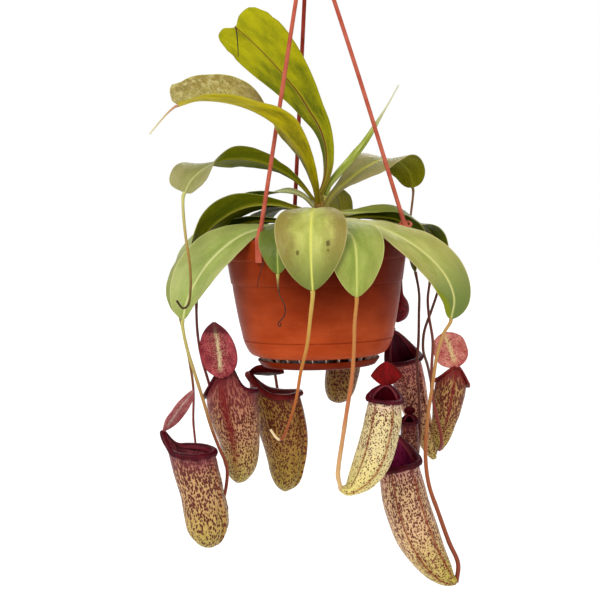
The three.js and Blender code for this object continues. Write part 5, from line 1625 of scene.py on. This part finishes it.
def make_spear():
    shell = Shell()

    def rolled(angle, u):
        """The blade is rolled round itself, so its free margin makes a step."""
        step = (angle / (2 * math.pi) + 1.2 * u) % 1
        return 0.86 + 0.26 * step

    add_tube(shell, Curve(SPEAR["path"]), lambda u: along(SPEAR["girth"], u), 28, 70, rolled)
    make_piece("leaf_04_roll", shell, [spear_look()], ["leaf_04"], corner=40)


def make_stem():
    shell = Shell()
    low, high = stem_axis(STEM_BOTTOM_Z), stem_axis(STEM_TOP_Z)

    def radius_at(u):
        z = mix(STEM_BOTTOM_Z, STEM_TOP_Z, u)
        scars = 0.25 * math.sin(z * 1.3) + 0.3 * noise.noise(Vector((z / 3, 0, 1)))
        sheaths = 0.7 * smooth((z - 1) / 8) * smooth((STEM_TOP_Z + 2 - z) / 7)
        return stem_radius(z) + scars * smooth((1 - u) / 0.1) + sheaths

    add_tube(shell, Curve([low, (low + high) / 2, high]), radius_at, 20, 70)
    make_piece("stem_body", shell, [stem_look()], ["stem"])


def add_lathe(shell, profile, sides):
    """A body turned about the upright axis from its (radius, height) points."""
    shell.body([[shell.add(polar(r, angle, z)) for angle in round_angles(sides)] for r, z in profile])


def make_pot(terracotta):
    wall = POT_WALL
    rim, inner, base = RIM_RADIUS, RIM_INNER_RADIUS, POT_BASE_Z
    band_top, band_foot, band_z = SECOND_BAND_TOP_RADIUS, SECOND_BAND_LOW_RADIUS, SECOND_BAND_Z
    line, line_z = LOW_LINE_RADIUS, LOW_LINE_Z
    under_rim = -RIM_BAND_HEIGHT
    outside = [
        (2, base), (POT_BASE_RADIUS - 1.4, base), (POT_BASE_RADIUS, base + 0.4), (51.2, base + 1.6),
        (53.2, base + 3.6), (54.8, base + 6.4), (56.3, base + 9.6),
    ]
    low_line = [
        (line - 0.25, line_z - 0.6), (line - 0.75, line_z - 0.2), (line - 0.75, line_z + 0.2),
        (line + 0.15, line_z + 0.6), (58.7, -72), (60.2, -65), (61.7, -57), (63.2, -48), (64.5, -39.5),
    ]
    second_band = [
        (64.9, band_z - 1.2), (64.95, band_z - 0.5), (band_foot - 0.35, band_z - 0.35),
        (band_foot, band_z + 0.3), (66.7, -29), (67.7, -22), (band_top, under_rim - 0.9),
        (band_top, under_rim - 0.4),
    ]
    rim_band = [
        (rim - 0.6, under_rim - 0.25), (rim - 0.1, under_rim + 0.5), (rim, under_rim + 1.4), (rim, -1.6),
        (rim - 0.2, -0.7), (rim - 0.6, -0.15), (rim - 1, 0), (inner + 0.2, 0), (inner - 0.1, -0.5),
    ]
    inside = [
        (inner - 0.5, under_rim), (band_foot - wall - 0.3, band_z), (line - wall, line_z),
        (50.5, base + 3.6), (46.5, base + wall), (2, base + wall),
    ]
    shell = Shell()
    add_lathe(shell, outside + low_line + second_band + rim_band + inside, POT_SIDES)
    make_piece("pot_body", shell, [terracotta], ["pot"], corner=35)


def add_peg(shell, angle):
    """An upright peg that the saucer hangs from, slanting out toward the pot."""
    out, aside = polar(1, angle), polar(1, angle + math.pi / 2)
    corners = []
    for z, near, far in ((SAUCER_FOOT_Z + 2, -3, 0), (POT_BASE_Z - 0.1, 0, 3.4)):
        for a, b in ((near, -0.4), (far, -0.4), (far, 0.4), (near, 0.4)):
            corners.append(shell.add(out * (PEG_RING_RADIUS + a) + aside * b + Vector((0, 0, z))))
    shell.net([corners[:4], corners[4:]], 1, round_rows=True)
    shell.face(corners[:4], 1)
    shell.face(corners[4:], 1)


def make_saucer(plastic):
    foot, top = SAUCER_FOOT_RADIUS, SAUCER_TOP_RADIUS
    foot_z, top_z = SAUCER_FOOT_Z, SAUCER_TOP_Z
    profile = [
        (2, foot_z), (foot - 1.5, foot_z), (foot, foot_z + 0.5), (foot + 1.2, foot_z + 2),
        (top - 0.2, top_z - 1), (top, top_z - 0.4), (top - 0.3, top_z), (top - 1.2, top_z),
        (foot - 1.3, foot_z + SAUCER_FLOOR), (2, foot_z + SAUCER_FLOOR),
    ]
    shell = Shell()
    add_lathe(shell, profile, SAUCER_SIDES)
    for i in range(SAUCER_PEGS):
        add_peg(shell, 2 * math.pi * (i + 0.5) / SAUCER_PEGS)
    # Painted light: the pegs get pale colours so they show as lit ticks, though they stand in the saucer's
    # shade
    peg_painted_light = plastic_look("saucer_peg_painted_light", (250, 200, 176), (255, 226, 206))
    make_piece("saucer_body", shell, [plastic, peg_painted_light], ["saucer"], corner=35)


def add_extrusion(shell, outline, bearing, width):
    """A flat outline of (radius, height) points, made solid across its middle, with eased edges."""
    out, across = outward(bearing), sideways(bearing)
    middle = sum((Vector(point) for point in outline), Vector((0, 0))) / len(outline)
    rows = []
    for place, shrink in ((-0.5, 0.3), (-0.47, 0.08), (-0.4, 0), (0.4, 0), (0.47, 0.08), (0.5, 0.3)):
        row = []
        for i, (r, z) in enumerate(outline):
            before = Vector(outline[i - 1])
            after = Vector(outline[(i + 1) % len(outline)])
            run = (after - before).normalized()
            inward = Vector((-run.y, run.x)) * shrink
            if (middle - Vector((r, z))).dot(inward) < 0 and len(outline) < 8:
                inward = -inward
            point = out * (r + inward.x) + across * (place * width)
            row.append(shell.add(point + Vector((0, 0, z + inward.y))))
        rows.append(row)
    shell.net(rows, 0, round_rows=True)
    shell.face(rows[0])
    shell.face(rows[-1])


def add_wire_ring(shell, centre):
    """The small wire ring at the foot of the right strand, leaning back."""
    lean = radians(RING_TILT)
    tilt = Vector((0, -math.sin(lean), math.cos(lean)))
    turns = []
    for angle in round_angles(40):
        sine = math.sin(angle)
        flat = Vector((math.cos(angle), sine * math.cos(lean), sine * math.sin(lean)))
        ring = []
        for turn in round_angles(10):
            away = flat * (RING_RADIUS + RING_WIRE * math.cos(turn)) + tilt * (RING_WIRE * math.sin(turn))
            ring.append(shell.add(centre + away))
        turns.append(ring)
    shell.net(turns, 0, round_rows=True, round_columns=True)


def strand_line(name):
    out = outward(CLIP_BEARINGS[name])
    foot = out * (RIM_RADIUS - 0.6) + Vector((0, 0, 3.6))
    top = out * 2.6 + Vector((0, 0, HUB_Z - HUB_HALF_HEIGHT + 1.6))
    return [foot, (foot + top) / 2 + out * STRAND_BOW[name], top]


def make_strand(name, plastic):
    """A strand with the clip that bends over the rim, and the raised web up the middle of the clip."""
    bearing = CLIP_BEARINGS[name]
    inside = RIM_INNER_RADIUS - 0.9
    outside = RIM_RADIUS + 0.35
    front = outside + CLIP_THICKNESS
    back = inside - CLIP_THICKNESS
    clip = [
        (outside, CLIP_LEG_Z), (front, CLIP_LEG_Z), (front, 0.4), (front - 0.3, 1.8), (front - 0.9, 2.7),
        (outside - 1, 3.4), (inside - 0.3, 3.2), (back, 2), (back, CLIP_BACK_Z), (inside - 0.2, CLIP_BACK_Z),
        (inside - 0.2, 0.5), (outside, 0.5),
    ]
    web = [
        (front - 0.2, -6), (front + 0.5, -4), (front - 0.2, 4.4), (outside - 0.4, 9.6), (inside + 0.6, 9.6),
        (inside - 0.4, 2.4),
    ]
    shell = Shell()
    add_extrusion(shell, clip, bearing, CLIP_WIDTH)
    add_extrusion(shell, web, bearing, WEB_WIDTH)

    def flared(u):
        return STRAND_RADIUS * (1 + 0.35 * math.exp(-u * 40))

    add_tube(shell, Curve(strand_line(name)), flared, 14, 60)
    if name == "strand_right":
        add_wire_ring(shell, outward(bearing) * (RIM_RADIUS - 0.8) + Vector((0, 0, RING_Z)))
    make_piece(name + "_line", shell, [plastic], [name], corner=45)


def add_ball(shell, centre, radius):
    rings = []
    for k in range(1, 8):
        lean = math.pi * k / 8
        around = [polar(math.sin(lean), angle, math.cos(lean)) for angle in round_angles(16)]
        rings.append([shell.add(centre + spot * radius) for spot in around])
    shell.body(rings)


def make_hook(plastic):
    """The hub that the strands end in, a short rod and an open hook with a ball at its end."""
    shell = Shell()
    low, high = HUB_Z - HUB_HALF_HEIGHT, HUB_Z + HUB_HALF_HEIGHT
    profile = [
        (0.8, low), (HUB_RADIUS - 0.8, low), (HUB_RADIUS, low + 0.8), (HUB_RADIUS, HUB_Z + 0.4),
        (HUB_RADIUS - 0.5, HUB_Z + 1.6), (HOOK_ROD + 1.6, high - 1.2), (HOOK_ROD + 0.7, high), (0.8, high),
    ]
    add_lathe(shell, profile, 48)
    centre_z = -RIM_Z - HOOK_INNER_RADIUS
    turn = HOOK_INNER_RADIUS + HOOK_ROD
    path = [(0, 0, HUB_Z), (0, 0, HUB_Z + 9), (5, 0, HUB_Z + 15.5)]
    for degrees in (-38, -5, 30, 65, 100, 135, 170, 200):
        path.append((turn * math.cos(radians(degrees)), 0, centre_z + turn * math.sin(radians(degrees))))
    add_tube(shell, Curve(path), lambda u: HOOK_ROD, 18, 110)
    add_ball(shell, Vector(path[-1]), HOOK_ROD + 0.4)
    make_piece("hook_body", shell, [plastic], ["hook"], corner=45)


def add_chip(shell, dice):
    """A rough seven-sided chip of bark, thrown on the growing mix."""
    angle = dice.uniform(0, 2 * math.pi)
    reach = mix(BARK_NEAR, BARK_FAR, math.sqrt(dice.random()))
    centre = polar(reach, angle, SOIL_TOP_Z + dice.uniform(0.6, 2.6))
    size = (dice.uniform(3, 7), dice.uniform(2, 4.5), dice.uniform(1, 2.2))
    turn = Matrix.Rotation(dice.uniform(0, 6.28), 3, "Z") @ Matrix.Rotation(dice.uniform(-0.5, 0.5), 3, "X")
    rings = []
    for z, swell in ((-1, 0.6), (-0.4, 1), (0.5, 0.95), (1, 0.5)):
        ring = []
        for bend in round_angles(7):
            rough = swell * dice.uniform(0.75, 1.1)
            spot = Vector((math.cos(bend) * size[0] * rough, math.sin(bend) * size[1] * rough, z * size[2]))
            ring.append(shell.add(centre + turn @ spot))
        rings.append(ring)
    shell.body(rings)


def make_bark():
    """Chips of bark on the growing mix, clear of the stem."""
    dice = random.Random(5)
    shell = Shell()
    for _ in range(BARK_CHIPS):
        add_chip(shell, dice)
    make_piece("bark_chips", shell, [bark_look()], corner=30)


def make_thread(name, thread, look):
    shell = Shell()
    curve = Curve(thread["path"])
    steps = max(14, round(curve.length / THREAD_STEP))
    add_tube(shell, curve, lambda u: mix(thread["girth"], thread["end"], u), THREAD_SIDES, steps)
    make_piece(name, shell, [look])


def make_camera():
    lens = bpy.data.cameras.new("camera")
    lens.lens = CAMERA_LENS
    lens.sensor_width = CAMERA_SENSOR
    lens.clip_end = CAMERA_REACH
    camera = bpy.data.objects.new("camera", lens)
    place, target = Vector(CAMERA_PLACE) * MM, Vector(CAMERA_TARGET) * MM
    aim = (target - place).to_track_quat("-Z", "Y").to_matrix()
    roll = Matrix.Rotation(radians(-CAMERA_ROLL), 3, "Z")
    camera.matrix_world = Matrix.Translation(place) @ (aim @ roll).to_4x4()
    bpy.context.scene.collection.objects.link(camera)
    bpy.context.scene.camera = camera


def add_area_light(name, place, size, power):
    light = bpy.data.lights.new(name, "AREA")
    light.shape = "DISK"
    light.size = size
    light.energy = power
    lamp = bpy.data.objects.new(name, light)
    lamp.location = place
    lamp.rotation_euler = (Vector(LIGHT_TARGET) - Vector(place)).to_track_quat("-Z", "Y").to_euler()
    bpy.context.scene.collection.objects.link(lamp)


def make_floor():
    mesh = bpy.data.meshes.new("floor")
    reach = FLOOR_HALF_SIZE
    square = ((-reach, -reach), (reach, -reach), (reach, reach), (-reach, reach))
    corners = [(x, y, FLOOR_Z) for x, y in square]
    mesh.from_pydata(corners, [], [(0, 1, 2, 3)])
    mesh.materials.append(floor_look())
    floor = bpy.data.objects.new("floor", mesh)
    bpy.context.scene.collection.objects.link(floor)


def make_stage():
    """White surroundings, a white floor well below the pot, and soft lights."""
    world = bpy.data.worlds.new("surroundings")
    world.use_nodes = True
    backdrop = world.node_tree.nodes["Background"]
    backdrop.inputs["Color"].default_value = (1, 1, 1, 1)
    backdrop.inputs["Strength"].default_value = 1.0
    bpy.context.scene.world = world
    bpy.context.scene.view_settings.view_transform = "Standard"
    make_floor()
    for name, (place, size, power) in LIGHTS.items():
        add_area_light(name, place, size, power)


def make_pot_and_hanger():
    # The pot's third colour is painted shade, higher up and toward its right
    terracotta = plastic_look("terracotta_plastic", (188, 73, 33), (208, 89, 45), (112, 34, 2))
    make_pot(terracotta)
    make_saucer(plastic_look("saucer_plastic", (110, 34, 14), (140, 48, 20)))
    front = plastic_look("coral_plastic", (190, 88, 68), (214, 112, 88))
    # The back strand is the same coral plastic in darker colours, as painted shade
    back = plastic_look("coral_plastic_shaded", (140, 50, 40), (166, 66, 52))
    for name in CLIP_BEARINGS:
        make_strand(name, back if name == "strand_back" else front)
    make_hook(front)
    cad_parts["soil"].data.materials.clear()
    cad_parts["soil"].data.materials.append(soil_look())
    make_bark()


def make_plant():
    make_stem()
    make_spear()
    for seed, (name, leaf) in enumerate(LEAVES.items()):
        make_leaf(name, USUAL_LEAF | leaf, seed)
    for seed, (name, tendril) in enumerate(TENDRILS.items()):
        make_tendril(name, tendril, seed)
    dark_collar = collar_look("dark_collar", (50, 4, 16), (86, 10, 28), (122, 30, 46))
    red_collar = collar_look("red_collar", (90, 14, 16), (124, 26, 24), (156, 54, 40))
    for seed, (name, pitcher) in enumerate(PITCHERS.items()):
        pitcher = USUAL_PITCHER | pitcher | {"curve": Curve(pitcher["spine"])}
        make_cup(name, pitcher, seed)
        make_collar_and_lid(name, pitcher, red_collar if name in RED_COLLARS else dark_collar, seed)
    make_bud()
    dry = dry_look()
    for name, thread in THREADS.items():
        make_thread(name, thread, dry)


make_camera()
make_stage()
make_pot_and_hanger()
make_plant()
